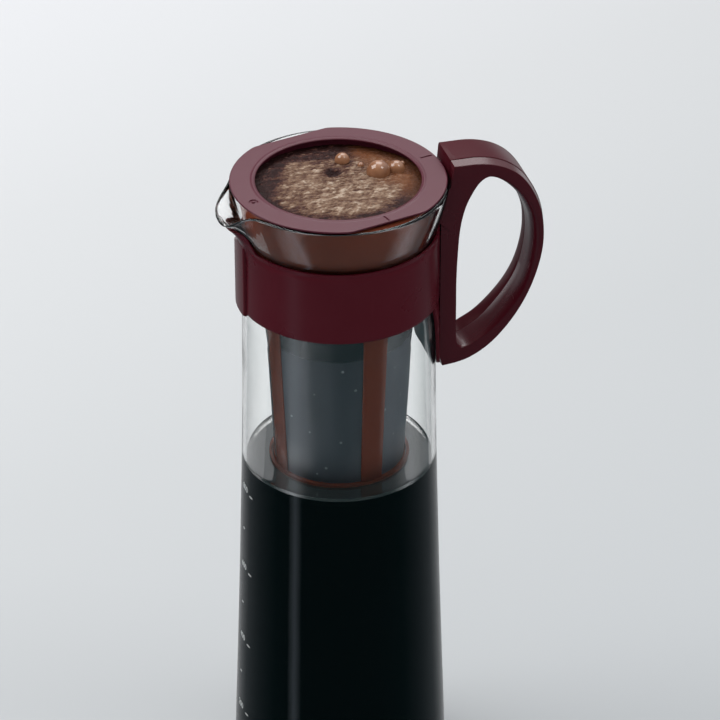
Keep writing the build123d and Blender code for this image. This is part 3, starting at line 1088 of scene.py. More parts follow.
    def label_mesh(self, label: str, centre: float, height: float, size: float
                   ) -> tuple[Array, list[list[int]]]:
        """Numerals from the built-in font, meshed flat and then wrapped.

        Args:
            label: digits.
            centre: angle of the middle in degrees.
            height: height of the middle.
            size: font size.

        Returns:
            Points and faces.
        """
        curve = bpy.data.curves.new("digits", "FONT")
        curve.body, curve.size = label, size
        curve.align_x = curve.align_y = "CENTER"
        curve.resolution_u = 4
        curve.extrude = 0.03
        holder = bpy.data.objects.new("digits", curve)
        bpy.context.scene.collection.objects.link(holder)
        bpy.context.view_layer.update()
        mesh = bpy.data.meshes.new_from_object(
            holder.evaluated_get(bpy.context.evaluated_depsgraph_get()))
        flat = np.empty(len(mesh.vertices) * 3, np.float32)
        mesh.vertices.foreach_get("co", flat)
        flat = flat.reshape(-1, 3)
        polygons = [list(polygon.vertices) for polygon in mesh.polygons]
        bpy.data.objects.remove(holder)
        bpy.data.meshes.remove(mesh)
        bpy.data.curves.remove(curve)
        lift = np.where(flat[:, 2] > 0, self.ink_high, self.ink_low)
        return self.wrapped(flat[:, :2], centre, height, lift), polygons

    def bar_mesh(self, centre: float, height: float, length: float, width: float
                 ) -> tuple[Array, list[list[int]]]:
        """Tick as a small curved box.

        Args:
            centre: angle of the middle in degrees.
            height: height of the middle.
            length: length along the turn.
            width: width upwards.

        Returns:
            Points and faces.
        """
        x, half = np.linspace(-length / 2, length / 2, 9), width / 2
        corners = ((-half, self.ink_low), (half, self.ink_low), (half, self.ink_high),
                   (-half, self.ink_high))
        points = np.concatenate([
            self.wrapped(np.stack([x, np.full_like(x, y)], axis=1), centre, height, lift)
            for y, lift in corners])
        quads = grid_faces(4, 9, around=False, along=True)[:, ::-1].tolist()
        return points, quads + [[27, 18, 9, 0], [8, 17, 26, 35]]


# ------------------------------------------------------------------------------------ coffee
@dataclass
class Coffee:
    """The brew in the jug, up to just below the strainer's hoop."""

    jug: GlassJug
    deep: bpy.types.Material
    film: bpy.types.Material
    level: float = 160.2
    contact: float = 0.06
    meniscus: float = 1.1
    skin: float = 0.4
    curl: float = 0.7

    def add_turned(self, name: str, profile: Array, finish: bpy.types.Material) -> None:
        """Turn a profile from axis to axis into a piece of coffee.

        Args:
            name: name of the piece.
            profile: rows of (radius, height).
            finish: its material.
        """
        shell = Shell(turned(profile, even_turn(192)), first_pole=True, last_pole=True)
        dress(make_object(name, [shell], 50.0), finish, "coffee", "jug")

    def build_body(self) -> None:
        """Body of revolution inside the glass, up to just under the open surface."""
        jug, high = self.jug, self.level - self.skin
        z = np.linspace(jug.floor + jug.corner - jug.wall, high, 70)[1:]
        side = np.stack([jug.wall_radius(z) - jug.wall, z], axis=1)
        profile = np.concatenate([[[0.0, jug.floor - 0.05]], jug.inner_foot() + [self.contact, -0.05],
                                  side + [self.contact, 0.0], [[0.0, high]]])
        self.add_turned("coffee", profile, self.deep)

    def build_surface(self) -> None:
        """Open surface: a skin that curls up at the wall as exp(-distance / curl)."""
        low, high = self.level - self.skin + 0.02, self.level + self.meniscus
        edge = self.jug.wall_radius(high) - self.jug.wall + self.contact
        away = np.array([0.05, 0.25, 0.6, 1.1, 1.8, 3.0, 6.0, 12.0, 22.0, 32.0])
        top = np.stack([edge - away, self.level + self.meniscus * np.exp(-away / self.curl)], axis=1)
        profile = np.concatenate([[[0.0, low], [edge - 0.02, low], [edge, high]], top,
                                  [[0.0, self.level]]])
        self.add_turned("coffee_surface", profile, self.film)


# ------------------------------------------------------------------------------------ neck band
@dataclass
class NeckBand:
    """Band round the waist with a cradle under the beak, a pad and the tongue."""

    jug: GlassJug
    finish: bpy.types.Material
    low: float = 235.6
    edge: float = 264.0
    top: float = 267.0
    face_low: float = 41.05
    face_high: float = 40.75
    bevel: float = 0.9
    seat: float = 0.25
    lip: float = 0.9
    cradle_lip: float = 1.2
    cradle_angle: float = 185.0
    cradle_rise: float = 8.4
    cradle_width: float = 12.8
    corner_rise: float = 3.6
    pad_half_angle: float = 10.6
    pad_proud: float = 0.95
    pad_drop: float = 1.5
    tongue_top: float = 21.0
    tongue_low: float = 14.6
    tongue_length: float = 33.5
    tongue_round: float = 5.0
    tongue_wall: float = 1.5
    foot_round: float = 0.7
    least_edge: float = 0.35
    pad_corner: float = 0.16

    def away(self, angle: Array) -> Array:
        """Degrees from the cradle's middle."""
        return np.abs(np.degrees(wrap_angle(angle - math.radians(self.cradle_angle))))

    def edge_height(self, angle: Array) -> Array:
        """Upper edge of the face: level, with a low flat-topped bell under the beak."""
        return self.edge + self.corner_rise * np.exp(-(self.away(angle) / 11.0) ** 3)

    def top_height(self, angle: Array) -> Array:
        """Upper edge at the glass: level, with a high flat-topped cradle under the beak."""
        return self.top + self.cradle_rise * np.exp(-(self.away(angle) / self.cradle_width) ** 8)

    def build_band(self) -> None:
        """Rows round the closed section: up the face, over the bevel, down the seat; and the tongue.

        The face and the bevel keep a lip outside the glass, which is thicker at the cradle."""
        angles = dense_turn(420, (self.cradle_angle,), 17.0, 6.0)
        turn = angles[None, :]
        away, glass = self.away(turn), self.jug
        edge, top = self.edge_height(turn), self.top_height(turn)
        foot = self.low + self.foot_round
        z_face = foot + (edge - foot) * np.linspace(0.0, 1.0, 26)[:, None]
        taper = np.clip((z_face - self.low) / (self.edge - self.low), 0.0, 1.0)
        plain = self.face_low + (self.face_high - self.face_low) * taper
        cover = self.seat + self.lip + self.cradle_lip * np.exp(-(away / 9.0) ** 4)
        r_face = np.maximum(plain, glass.outside_at(turn, z_face) + cover)
        share = np.linspace(0.0, 1.0, 15)[1:, None]
        z_bevel = edge + (top - edge) * share
        thin = 0.9 * self.cradle_lip * share ** 3 * np.exp(-((away - 10.0) / 3.0) ** 2)
        r_bevel = np.maximum(r_face[-1:] - self.bevel * share,
                             glass.outside_at(turn, z_bevel) + cover - thin)
        r_top = r_bevel[-1:]
        in_top = np.minimum(glass.outside_at(turn, top) + self.seat, r_top - self.least_edge)
        z_in = top + (self.low - top) * np.linspace(0.0, 1.0, 30)[:, None]
        r_in = np.minimum(glass.outside_at(turn, z_in) + self.seat, in_top + 3.0)
        r_in[0:1] = in_top
        rows = Rows(angles)
        rows.add(self.face_low - self.foot_round, self.low)
        rows.add(self.face_low - 0.2, self.low + 0.2)
        rows.add(r_face, z_face)
        rows.add(r_bevel, z_bevel)
        rows.add((r_top + in_top) / 2, top + 0.1)
        rows.add(r_in, z_in)
        shells = [rows.shell(along=True), self.tongue_shell()]
        dress(make_object("neck_band_piece", shells, 32.0), self.finish, "burgundy_plastic", "jug",
              "neck_band")

    def tongue_shell(self) -> Shell:
        """Plate below the band: a rounded strip that narrows, wrapped on the glass.

        Returns:
            The closed surface.
        """
        down = np.linspace(0.0, 1.0, 34)[:, None]
        z = self.low + 1.0 - (self.tongue_length + 1.0) * down
        half = self.tongue_top + (self.tongue_low - self.tongue_top) * smooth_step(down * 1.02)
        foot = np.clip((self.low - self.tongue_length - z) / self.tongue_round + 1.0, 0.0, 1.0)
        half = half - self.tongue_round * (1.0 - np.sqrt(np.clip(1.0 - foot ** 2, 0.0, 1.0)))
        across, depth = np.array([
            (-1.0, 0.0), (-1.0, 0.55), (-0.985, 0.85), (-0.955, 1.0), (-0.5, 1.0), (0.0, 1.0),
            (0.5, 1.0), (0.955, 1.0), (0.985, 0.85), (1.0, 0.55), (1.0, 0.0), (0.5, 0.0), (0.0, 0.0),
            (-0.5, 0.0)]).T
        base = self.jug.wall_radius(z) + self.seat
        turn = half * across / (base + self.tongue_wall)
        return Shell.capped(polar(base + self.tongue_wall * depth, z, turn))

    def build_pad(self) -> None:
        """Pad under the beak: a raised plate over the band's face, its height a quarter round at
        the sides and ends, and its lower corners rounded."""
        a, u = np.meshgrid(np.linspace(-1.0, 1.0, 41), np.linspace(0.0, 1.0, 40))
        low = self.low - self.pad_drop
        corner = np.clip(1.0 - u / self.pad_corner, 0.0, 1.0)
        half = self.pad_half_angle * (1.0 - 0.22 * (1.0 - np.sqrt(1.0 - corner ** 2)))
        turn = math.pi + np.radians(half * a)
        z = low + (self.edge_height(turn) + 0.1 - low) * u
        side = np.clip((1.0 - np.abs(a)) / 0.12, 0.0, 1.0)
        ends = np.clip(np.minimum(u, 1.0 - u) / 0.03, 0.0, 1.0)
        dome = np.sqrt(1.0 - (1.0 - side) ** 2) * np.sqrt(1.0 - (1.0 - ends) ** 2)
        glass = self.jug.outside_at(turn, z) + self.seat
        face = np.maximum(self.face_low, glass + self.lip)
        front = polar(face + self.pad_proud * dome + 0.05, z, turn)
        back = polar(np.maximum(face - 0.9, glass), z, turn)
        shell = Shell.capped(np.concatenate([front, back[:, ::-1]], axis=1))
        dress(make_object("spout_pad_piece", [shell], 30.0), self.finish, "burgundy_plastic", "jug",
              "spout_pad")


# ------------------------------------------------------------------------------------ handle
@dataclass
class Handle:
    """D handle of two shells: the wide body and the narrower cover on the near side."""

    jug: GlassJug
    finish: bpy.types.Material
    cover_finish: bpy.types.Material
    half_width: float = 10.3
    seam_outside: float = -5.4
    seam_inside: float = 2.4
    recess: float = 0.3
    top: float = 293.2
    low: float = 199.6
    clearance: float = 0.4
    band_radius: float = 41.25
    band_top: float = 267.4
    ring_radius: float = 44.85
    ring_low: float = 282.6
    round_depth: float = 3.3
    round_width: float = 6.0
    leg_depth: float = 1.0
    leg_width: float = 1.8
    edge_round: float = 0.5
    seam_bevel: float = 0.3
    draft: float = 0.95
    outer_points: tuple[tuple[float, float], ...] = (
        (50.4, 293.15), (55.0, 293.1), (59.6, 292.5), (64.5, 291.1), (69.4, 288.7), (73.4, 285.6),
        (77.2, 281.1), (80.6, 275.2), (83.1, 269.0), (84.6, 262.0), (84.96, 254.5), (84.3, 247.5),
        (82.6, 240.3), (79.6, 231.9), (75.8, 224.2), (71.0, 216.8), (65.6, 210.4), (60.8, 206.0),
        (55.8, 202.8), (50.3, 200.5), (45.6, 199.6))
    inner_points: tuple[tuple[float, float], ...] = (
        (79.3, 256.0), (78.5, 262.5), (76.2, 269.0), (72.6, 275.2), (68.3, 280.2), (64.2, 283.7),
        (60.6, 285.0), (57.2, 283.6), (54.0, 279.7), (51.2, 274.3), (49.3, 268.2), (48.1, 260.0),
        (47.5, 250.0), (47.2, 240.0), (47.2, 230.0), (47.2, 220.0), (47.3, 213.5), (47.9, 210.0),
        (49.4, 208.0), (51.6, 208.0), (55.0, 209.7), (59.5, 212.6), (66.1, 219.1), (71.7, 226.4),
        (75.9, 234.2), (78.4, 243.5), (79.3, 251.0))
    widest_outer: int = 10
    crest_inner: int = 6
    leg_inner: int = 10
    foot_inner: int = 16
    heel_inner: int = 20

    def jug_side(self, height: Array) -> Array:
        """Distance from the axis that the handle keeps: band, flare and ring with a clearance.

        Args:
            height: heights.

        Returns:
            Distances.
        """
        glass = self.jug.wall_radius(height) + self.clearance
        band = np.where(height < self.band_top, self.band_radius, 0.0)
        rim = np.where(height > self.ring_low, self.ring_radius, 0.0)
        return np.maximum(np.maximum(glass, band), rim)

    def outlines(self) -> tuple[Array, Array, Array]:
        """Matching points of the finger gap and the outside, all the way round.

        Returns:
            Inner points, outer points, and how much each outer point hugs the jug.
        """
        fine = 24
        inner = spline(np.array(self.inner_points), fine, closed=True)
        outer = spline(np.array(self.outer_points), fine)
        cut = fine * np.array([0, self.crest_inner, self.leg_inner, self.foot_inner, self.heel_inner])
        widest = fine * self.widest_outer
        leg_z = np.linspace(outer[0, 1], self.low, 240)
        jug_line = np.stack([self.jug_side(leg_z), leg_z], axis=1)
        counts = (44, 14, 64, 14, 60)
        hugs = ((0, 0), (0, 1), (1, 1), (1, 0), (0, 0))
        runs_in = [inner[start:end + 1] for start, end in
                   zip(cut, list(cut[1:]) + [len(inner) - 1])]
        runs_out = [outer[:widest + 1][::-1], np.vstack([outer[:1], jug_line[:30]]),
                    jug_line[29:-13], np.vstack([jug_line[-14:], outer[-1:]]), outer[widest:][::-1]]
        inside, outside = (
            np.concatenate([resample(run, count)[:-1] for run, count in zip(runs, counts)])
            for runs in (runs_in, runs_out))
        hug = [np.linspace(*ends, count)[:-1] for ends, count in zip(hugs, counts)]
        return inside, outside, np.concatenate(hug)

    def section(self, y_open: float) -> Array:
        """Closed loop of one shell's section.

        The finger side has a wide elliptic round, the outside a small one; both end at the
        slanting seam, with a fine bevel that makes its groove. The cover's outside leans in
        toward its open side.

        Args:
            y_open: side plane that is seen.

        Returns:
            Rows of (0 or 1 for which outline, millimetres from it, y, share of the round's depth,
            share of the round's width).
        """
        side = 1.0 if y_open > 0 else -1.0
        small, seam = self.edge_round, self.seam_bevel
        lean = 0.0 if side > 0 else self.draft
        turn = np.radians(np.linspace(90, 0, 12))
        inner = [(0.0, 0.0, y_open, 1.0 - math.cos(t), 1.0 - math.sin(t)) for t in turn]
        along = [] if side > 0 else [(0.0, 0.0, y_open + run, 0.0, 1.0) for run in (1.2, 2.6)]
        seam_in = [(0.0, 0.0, self.seam_inside + side * seam, 0.0, 0.0),
                   (0.0, seam, self.seam_inside + side * 0.02, 0.0, 0.0)]
        middle = [(0.5, 0.0, (self.seam_inside + self.seam_outside) / 2.0 + side * 0.02, 0.0, 0.0)]
        seam_out = [(1.0, -seam, self.seam_outside + side * 0.02, 0.0, 0.0),
                    (1.0, 0.0, self.seam_outside + side * seam, 0.0, 0.0)]
        outer = [(1.0, -lean - small + small * math.sin(t),
                  y_open - side * (small - small * math.cos(t)), 0.0, 0.0)
                 for t in np.radians(np.linspace(90, 0, 5))]
        return np.array(inner + along + seam_in + middle + seam_out + outer
                        + [(0.62, 0.0, y_open, 0.0, 0.0)])

    def shell(self, y_open: float, recess: float) -> Shell:
        """Carry the section round the D: each point lies between the two outlines.

        Args:
            y_open: side plane that is seen.
            recess: how far the outside lies inside the outline.

        Returns:
            The closed surface.
        """
        inside, outside, hug = self.outlines()
        away = outside - inside
        length = np.hypot(away[:, 0], away[:, 1])[:, None]
        unit = away / length
        length = length - recess * (1.0 - hug[:, None])
        loop = self.section(y_open)
        soft = smooth_step((inside[:, 0:1] - 52.0) / 22.0)
        deep = self.leg_depth + (self.round_depth - self.leg_depth) * soft
        wide = self.leg_width + (self.round_width - self.leg_width) * soft
        held = np.where(loop[None, :, 0] == 1.0, 1.0 - hug[:, None], 1.0)
        offset = loop[None, :, 0] * length + held * loop[None, :, 1] + deep * loop[None, :, 3]
        x = inside[:, 0:1] + unit[:, 0:1] * offset
        z = inside[:, 1:2] + unit[:, 1:2] * offset
        y = loop[None, :, 2] - math.copysign(1.0, y_open) * wide * loop[None, :, 4]
        keep = self.jug_side(z)
        outward = np.sqrt(np.clip(keep ** 2 - y ** 2, 0.0, None))
        share = np.clip((offset / length - 0.5) * 2.0, 0.0, 1.0) * hug[:, None]
        x = x + (outward - keep) * share
        return Shell(np.stack([x, y, z], axis=-1), along=True)

    def build(self) -> None:
        """Make the body and the cover."""
        for name, side, recess, finish in (("handle_body", 1.0, 0.0, self.finish),
                                           ("handle_cover", -1.0, self.recess, self.cover_finish)):
            shell = self.shell(side * self.half_width, recess)
            dress(make_object(f"{name}_piece", [shell], 30.0), finish, "burgundy_plastic", "jug", name)


# ------------------------------------------------------------------------------------ top ring
@dataclass
class TopRing:
    """Turning ring with two flats, a round mark and two radial marks."""

    finish: bpy.types.Material
    radius: float = 43.6
    hole: float = 33.3
    low: float = 287.55
    high: float = 288.45
    flat: float = 40.2
    turn: float = 14.0
    edge_round: float = 0.45
    skirt_radius: float = 37.9
    skirt_wall: float = 1.8
    skirt_low: float = 281.7
    mark_depth: float = 0.5
    mark_place: float = -166.0
    mark_radius: float = 38.4
    mark_size: float = 1.15
    radial_marks: tuple[tuple[float, float, float], ...] = ((-2.0, 37.0, 42.6), (-89.0, 35.4, 40.0))
    bend: float = 0.25
    bead: float = 0.26
    bead_width: float = 0.55

    def outer_radius(self, angle: Array) -> Array:
        """Outside: the circle, cut by two straight flats, with a soft minimum of both.

        Args:
            angle: angles in radians.

        Returns:
            Radii.
        """
        across = np.abs(np.cos(wrap_angle(angle - math.radians(self.turn + 90.0))))
        straight = self.flat / np.maximum(across, 0.2)
        least = np.minimum(straight, self.radius)
        soft = -self.bend * np.log(np.exp(-(straight - least) / self.bend)
                                   + np.exp(-(self.radius - least) / self.bend))
        return np.minimum(least + soft, self.radius)

    def marks(self, x: Array, y: Array) -> Array:
        """Depth share of the round mark and the two radial marks, with soft walls.

        Args:
            x: places.
            y: places.

        Returns:
            Shares from 0 to 1.
        """
        place = math.radians(self.mark_place)
        from_mark = np.hypot(x - self.mark_radius * math.cos(place),
                             y - self.mark_radius * math.sin(place))
        total = smooth_step((0.62 - np.abs(from_mark - self.mark_size)) / 0.22)
        for turn, start, end in self.radial_marks:
            a = math.radians(self.turn + turn)
            along = x * math.cos(a) + y * math.sin(a)
            across = np.abs(-x * math.sin(a) + y * math.cos(a))
            inside = np.minimum(along - start, end - along)
            total = np.maximum(total, smooth_step((0.5 - across) / 0.3) * smooth_step(inside / 0.4))
        return total

    def build(self) -> None:
        """Rows of the closed section: hole edge, top, outer edge, underside and skirt."""
        places = (self.mark_place, *(self.turn + mark[0] for mark in self.radial_marks))
        angles = dense_turn(760, places, 4.0, 5.0)
        turn = angles[None, :]
        outer, soft, start = self.outer_radius(turn), self.edge_round, self.hole + self.edge_round
        quarter = [(soft * math.cos(t), self.high - soft + soft * math.sin(t))
                   for t in np.radians(np.linspace(0, 90, 7))]
        share = np.linspace(0, 1, 44)[1:-1, None] ** 1.4
        radius = start + (outer - soft - start) * share
        sunk = self.mark_depth * self.marks(radius * np.cos(turn), radius * np.sin(turn))
        from_bead = (radius - start) / self.bead_width - 1.3
        rows = Rows(angles)
        rows.add_all([(start - away, height) for away, height in quarter])
        rows.add(radius, self.high - sunk + self.bead * np.exp(-from_bead ** 2))
        for away, height in quarter[::-1]:
            rows.add(outer - soft + away, height)
        rows.add(outer, self.low + 0.3)
        rows.add(outer - 0.3, self.low)
        skirt, inside = self.skirt_radius, self.skirt_radius - self.skirt_wall
        rows.add_all([
            (skirt + 0.3, self.low), (skirt, self.low - 0.3), (skirt, self.skirt_low + 0.3),
            (skirt - 0.3, self.skirt_low), (inside + 0.3, self.skirt_low),
            (inside, self.skirt_low + 0.3), (inside, self.low + 0.2), (inside - 0.6, self.low),
            (self.hole + 0.4, self.low), (self.hole, self.low + 0.4)])
        dress(make_object("top_ring_piece", [rows.shell(along=True)], 40.0), self.finish,
              "ring_plastic", "ring", "top_ring")


# ------------------------------------------------------------------------------------ strainer
@dataclass
class Strainer:
    """Funnel, ribs and hoops in one moulding, with four mesh panels between the ribs."""

    finish: bpy.types.Material
    mesh: bpy.types.Material
    turn: float = 14.0
    funnel_foot: float = 257.5
    cage_high: float = 32.4
    cage_low: float = 27.3
    bottom: float = 158.5
    wall: float = 1.6
    hoop: float = 2.6
    rib_width: float = 11.5
    tuck: float = 1.2
    overlap: float = 0.5
    inset: float = 0.85
    sheet: float = 0.4

    def cage_radius(self, height: Array) -> Array:
        """Outside of the cage: straight taper between its hoops."""
        share = (height - self.bottom) / (self.funnel_foot - self.bottom)
        return self.cage_low + share * (self.cage_high - self.cage_low)

    def funnel(self) -> Shell:
        """Turned section: ledge, cone, flange, seat for the ring's skirt and the inner cone.

        Returns:
            The closed surface.
        """
        profile = np.array([
            (29.4, 257.5), (34.3, 257.5), (34.9, 257.75), (35.4, 258.4), (36.6, 264.0), (38.0, 271.0),
            (39.3, 277.3), (40.1, 281.5), (40.7, 284.4), (40.95, 285.3), (40.85, 285.9),
            (40.5, 286.1), (38.5, 286.1), (38.15, 285.7), (38.15, 280.1), (37.0, 280.1),
            (35.9, 274.5), (34.6, 267.5), (33.9, 260.0), (33.2, 259.1), (30.2, 259.0), (29.4, 258.8)])
        return Shell(turned(profile, even_turn(256)), along=True)

    def hoop_shell(self, low: float, high: float) -> Shell:
        """Turned ring between two heights with rounded corners.

        Args:
            low: lower height.
            high: upper height.

        Returns:
            The closed surface.
        """
        soft, wall, middle = 0.35, self.wall, (low + high) / 2
        z = np.array([low, low, low + soft, middle, high - soft, high, high, high - soft, middle,
                      low + soft])
        inset = np.array([wall - soft, soft, 0.0, 0.0, 0.0, soft, wall - soft, wall, wall, wall])
        profile = np.stack([self.cage_radius(z) - inset, z], axis=1)
        return Shell(turned(profile, even_turn(256)), along=True)

    def rib_shell(self, turn: float) -> Shell:
        """Rib: a rounded flat section carried up the cage's taper.

        Args:
            turn: angle of its middle in degrees.

        Returns:
            The closed surface.
        """
        z = np.linspace(self.bottom + 0.3, self.funnel_foot, 60)[:, None]
        across, depth = np.array([
            (-1.0, 0.0), (-1.0, -0.8), (-0.96, -1.0), (-0.4, -1.0), (0.4, -1.0), (0.96, -1.0),
            (1.0, -0.8), (1.0, 0.0), (0.97, 0.2), (0.90, 0.30), (0.4, 0.34), (-0.4, 0.34),
            (-0.90, 0.30), (-0.97, 0.2)]).T
        radius = self.cage_radius(z) + np.where(depth < 0, depth * self.wall, depth - depth.max())
        half_angle = math.asin(self.rib_width / 2.0 / self.cage_high)
        return Shell.capped(polar(radius, z, math.radians(turn) + half_angle * across))

    def build_frame(self) -> None:
        """Join funnel, hoops and ribs."""
        shells = [self.funnel(), self.hoop_shell(self.funnel_foot - self.hoop, self.funnel_foot),
                  self.hoop_shell(self.bottom, self.bottom + self.hoop)]
        shells += [self.rib_shell(self.turn + 360.0 / PANELS * index) for index in range(PANELS)]
        dress(make_object("strainer_frame_piece", shells, 34.0), self.finish, "brown_plastic",
              "strainer", "strainer_frame")

    def build_panel(self, index: int) -> None:
        """Thin wavy sheet between two ribs: cage radius plus low ripples that die at its edges.

        Args:
            index: number of the panel, from 0.
        """
        low = self.bottom + self.hoop - self.overlap
        z = np.linspace(low, self.funnel_foot - self.hoop + self.overlap, 90)[:, None]
        a = np.linspace(-1.0, 1.0, 90)[None, :]
        step = 360.0 / PANELS
        half = step / 2 - math.degrees(math.asin(self.rib_width / 2 / self.cage_high)) + self.tuck
        middle = math.radians(self.turn + (index + 0.5) * step)
        angle = middle + math.radians(half) * a
        held = (1.0 - a ** 6) * (1.0 - ((z - 208.0) / 49.0) ** 8)
        wave = ripple(angle * 2.4 + index, z * 0.035, 11 + index, 3, 1.6)
        fold = 0.55 * np.sin(angle * 13.0 + 0.02 * z + index)
        centre = self.cage_radius(z) - self.inset + held * (0.55 * wave + 0.25 * fold + 0.15)
        sides = [polar(centre + offset, z, angle) for offset in (self.sheet / 2, -self.sheet / 2)]
        chart = np.stack(np.broadcast_arrays(centre * (angle - middle), z), axis=-1)
        shell = Shell.capped(np.concatenate([sides[0], sides[1][:, ::-1]], axis=1),
                             np.concatenate([chart, chart[:, ::-1]], axis=1))
        name = f"mesh_panel_{index + 1}"
        dress(make_object(f"{name}_piece", [shell], 50.0), self.mesh, "strainer_mesh", "strainer",
              name)


# ------------------------------------------------------------------------------------ grounds
@dataclass
class Grounds:
    """Blooming grounds in the ring's mouth, with a few bubbles."""

    foam: bpy.types.Material
    skin: bpy.types.Material
    radius: float = 35.8
    level: float = 284.9
    depth: float = 3.4
    crater: tuple[float, float] = (0.4, 9.6)
    draw: float = 0.55
    film: float = 0.12
    bubbles: tuple[tuple[float, float, float], ...] = (
        (17.8, 4.2, 4.9), (25.6, 5.6, 3.6), (6.4, 17.6, 3.1), (12.6, 11.9, 1.3), (29.6, 10.5, 1.1),
        (21.5, 13.0, 0.9))

    def surface(self, x: Array, y: Array) -> tuple[Array, Array, Array]:
        """Height, froth share and rust share over the disc.

        The height is a low dome with slow ripples, small round froth lumps and a pit where the
        water went in; froth falls away toward the back, the left and the wall, and round the pit.

        Args:
            x: places.
            y: places.

        Returns:
            Heights, froth shares and rust shares.
        """
        r = np.hypot(x, y)
        inward = np.clip((self.radius - r) / self.radius, 0.0, 1.0)
        drift = ripple(x, y, 5, 4, 0.10)
        streak = ripple(0.35 * x + 0.2 * y, y, 31, 4, 0.30)
        back = smooth_step((y + 0.10 * x - 17.0 + 6.0 * drift) / 9.0)
        left = smooth_step((-x + 0.45 * y - 21.0 + 7.0 * drift) / 9.0)
        rim = smooth_step((r + 4.5 * np.clip(-y / 30.0, 0.0, 1.0) - 26.5 + 3.0 * drift) / 6.0)
        near = smooth_step((-y - 6.0) / 14.0)
        bare = np.maximum(np.maximum(0.56 * back, 0.58 * left), (0.74 - 0.34 * near) * rim)
        froth = np.clip(0.77 - bare + 0.28 * drift + 0.30 * streak, 0.0, 1.0)
        flow = x * 0.8 + 0.15 * y - 10.0 + 10.0 * ripple(x, y, 9, 3, 0.13)
        rust = smooth_step(flow / 9.0) * (1.0 - 0.5 * rim)
        drawn = self.draw * x
        coarse = lumps(drawn, y, 300, self.radius, (0.7, 1.5), 7)
        small = lumps(drawn, y, 3600, self.radius, (0.20, 0.52), 3)
        fine = ripple(drawn, y, 21, 4, 1.6)
        from_pit = (x - self.crater[0]) ** 2 + (y - self.crater[1]) ** 2
        pit, wash = np.exp(-from_pit / 7.0), np.exp(-from_pit / 60.0)
        height = (self.level + 1.3 * smooth_step(inward * 2.6) - 0.5 * back + 0.45 * streak
                  + 0.18 * coarse + (0.50 + 0.20 * froth) * small + 0.42 * fine - 2.6 * pit)
        froth = froth - 0.05 + 0.40 * (small - 0.35) + 0.46 * fine - 0.9 * pit - 0.22 * wash
        return height, np.clip(froth, 0.0, 1.0), np.clip(rust, 0.0, 1.0)

    def build_bed(self) -> None:
        """Closed puck: the displaced disc on top, a plain side and floor below."""
        angles = even_turn(480)
        rings = self.radius * np.linspace(0.0, 1.0, 170)[:, None]
        x, y = rings * np.cos(angles), rings * np.sin(angles)
        height, froth, rust = self.surface(x, y)
        height[0] = height[0].mean()
        low = self.level - self.depth
        side = turned(np.array([(self.radius, self.level - 1.0), (self.radius - 0.8, low),
                                (0.0, low)]), angles)
        shell = Shell(np.concatenate([np.stack([x, y, height], axis=-1), side]), first_pole=True,
                      last_pole=True)
        piece = make_object("coffee_grounds", [shell], 80.0)
        used = np.unique(shell.faces())
        for name, shares in (("froth", froth), ("rust", rust)):
            whole = np.concatenate([shares, np.zeros((len(side), len(angles)))]).reshape(-1)[used]
            layer = piece.data.attributes.new(name, "FLOAT", "POINT")
            layer.data.foreach_set("value", whole.astype(np.float32))
        dress(piece, self.foam, "coffee_bloom", "strainer")

    def build_bubbles(self) -> None:
        """Thin domes: an outer and an inner cap of a sphere joined at the rim."""
        shells = []
        tilt = np.radians(np.linspace(0, 96, 22))
        dome = np.stack([np.sin(tilt), np.cos(tilt)], axis=1)
        for x, y, size in self.bubbles:
            level = self.surface(np.array([x]), np.array([y]))[0][0] + 0.05 * size
            profile = np.concatenate([size * dome, (size - self.film) * dome[::-1]])
            points = turned(profile, even_turn(48)) + np.array([x, y, level])
            shells.append(Shell(points, first_pole=True, last_pole=True))
        dress(make_object("coffee_bubbles", shells, 60.0), self.skin, "coffee_bloom", "strainer")


# ------------------------------------------------------------------------------------ stage
class Side(Enum):
    """Where a lamp stands."""

    KEY = "key"
    BACK = "back"
    FILL = "fill"


@dataclass(frozen=True)
class Lamp:
    """Soft rectangular lamp."""

    side: Side
    place: tuple[float, float, float]
    aim: tuple[float, float, float]
    size: float
    power: float

    def build(self) -> None:
        """Add the lamp and turn it to its aim."""
        data = bpy.data.lights.new(f"{self.side.value}_lamp", "AREA")
        data.shape, data.size, data.energy = "SQUARE", self.size, self.power
        lamp = bpy.data.objects.new(data.name, data)
        lamp.location = self.place
        way = Vector(self.aim) - Vector(self.place)
        lamp.rotation_euler = way.to_track_quat("-Z", "Y").to_euler()
        bpy.context.scene.collection.objects.link(lamp)


def inner_mirror(ray: dict[str, Value], y: Value, reach: float) -> Value:
    """Mask of what the glass mirrors from its inside: a glossy bounce that either passed a full
    wall or looks at the front.

    Args:
        ray: outputs of a Light Path node.
        y: how far back the seen point or direction lies.
        reach: y below which it counts as the front.

    Returns:
        1 or 0.
    """
    through = (ray["Transmission Depth"] > 3.5).at_least(y < reach)
    return (ray["Glossy Depth"] > 0.5) * through


def soft_strip(turn: Value, middle: float, half_width: float) -> Value:
    """Upright strip: 1 at its middle turn in radians, falling evenly to 0 at its half width."""
    return (1.0 - abs(turn - middle) / half_width).at_least(0.0)


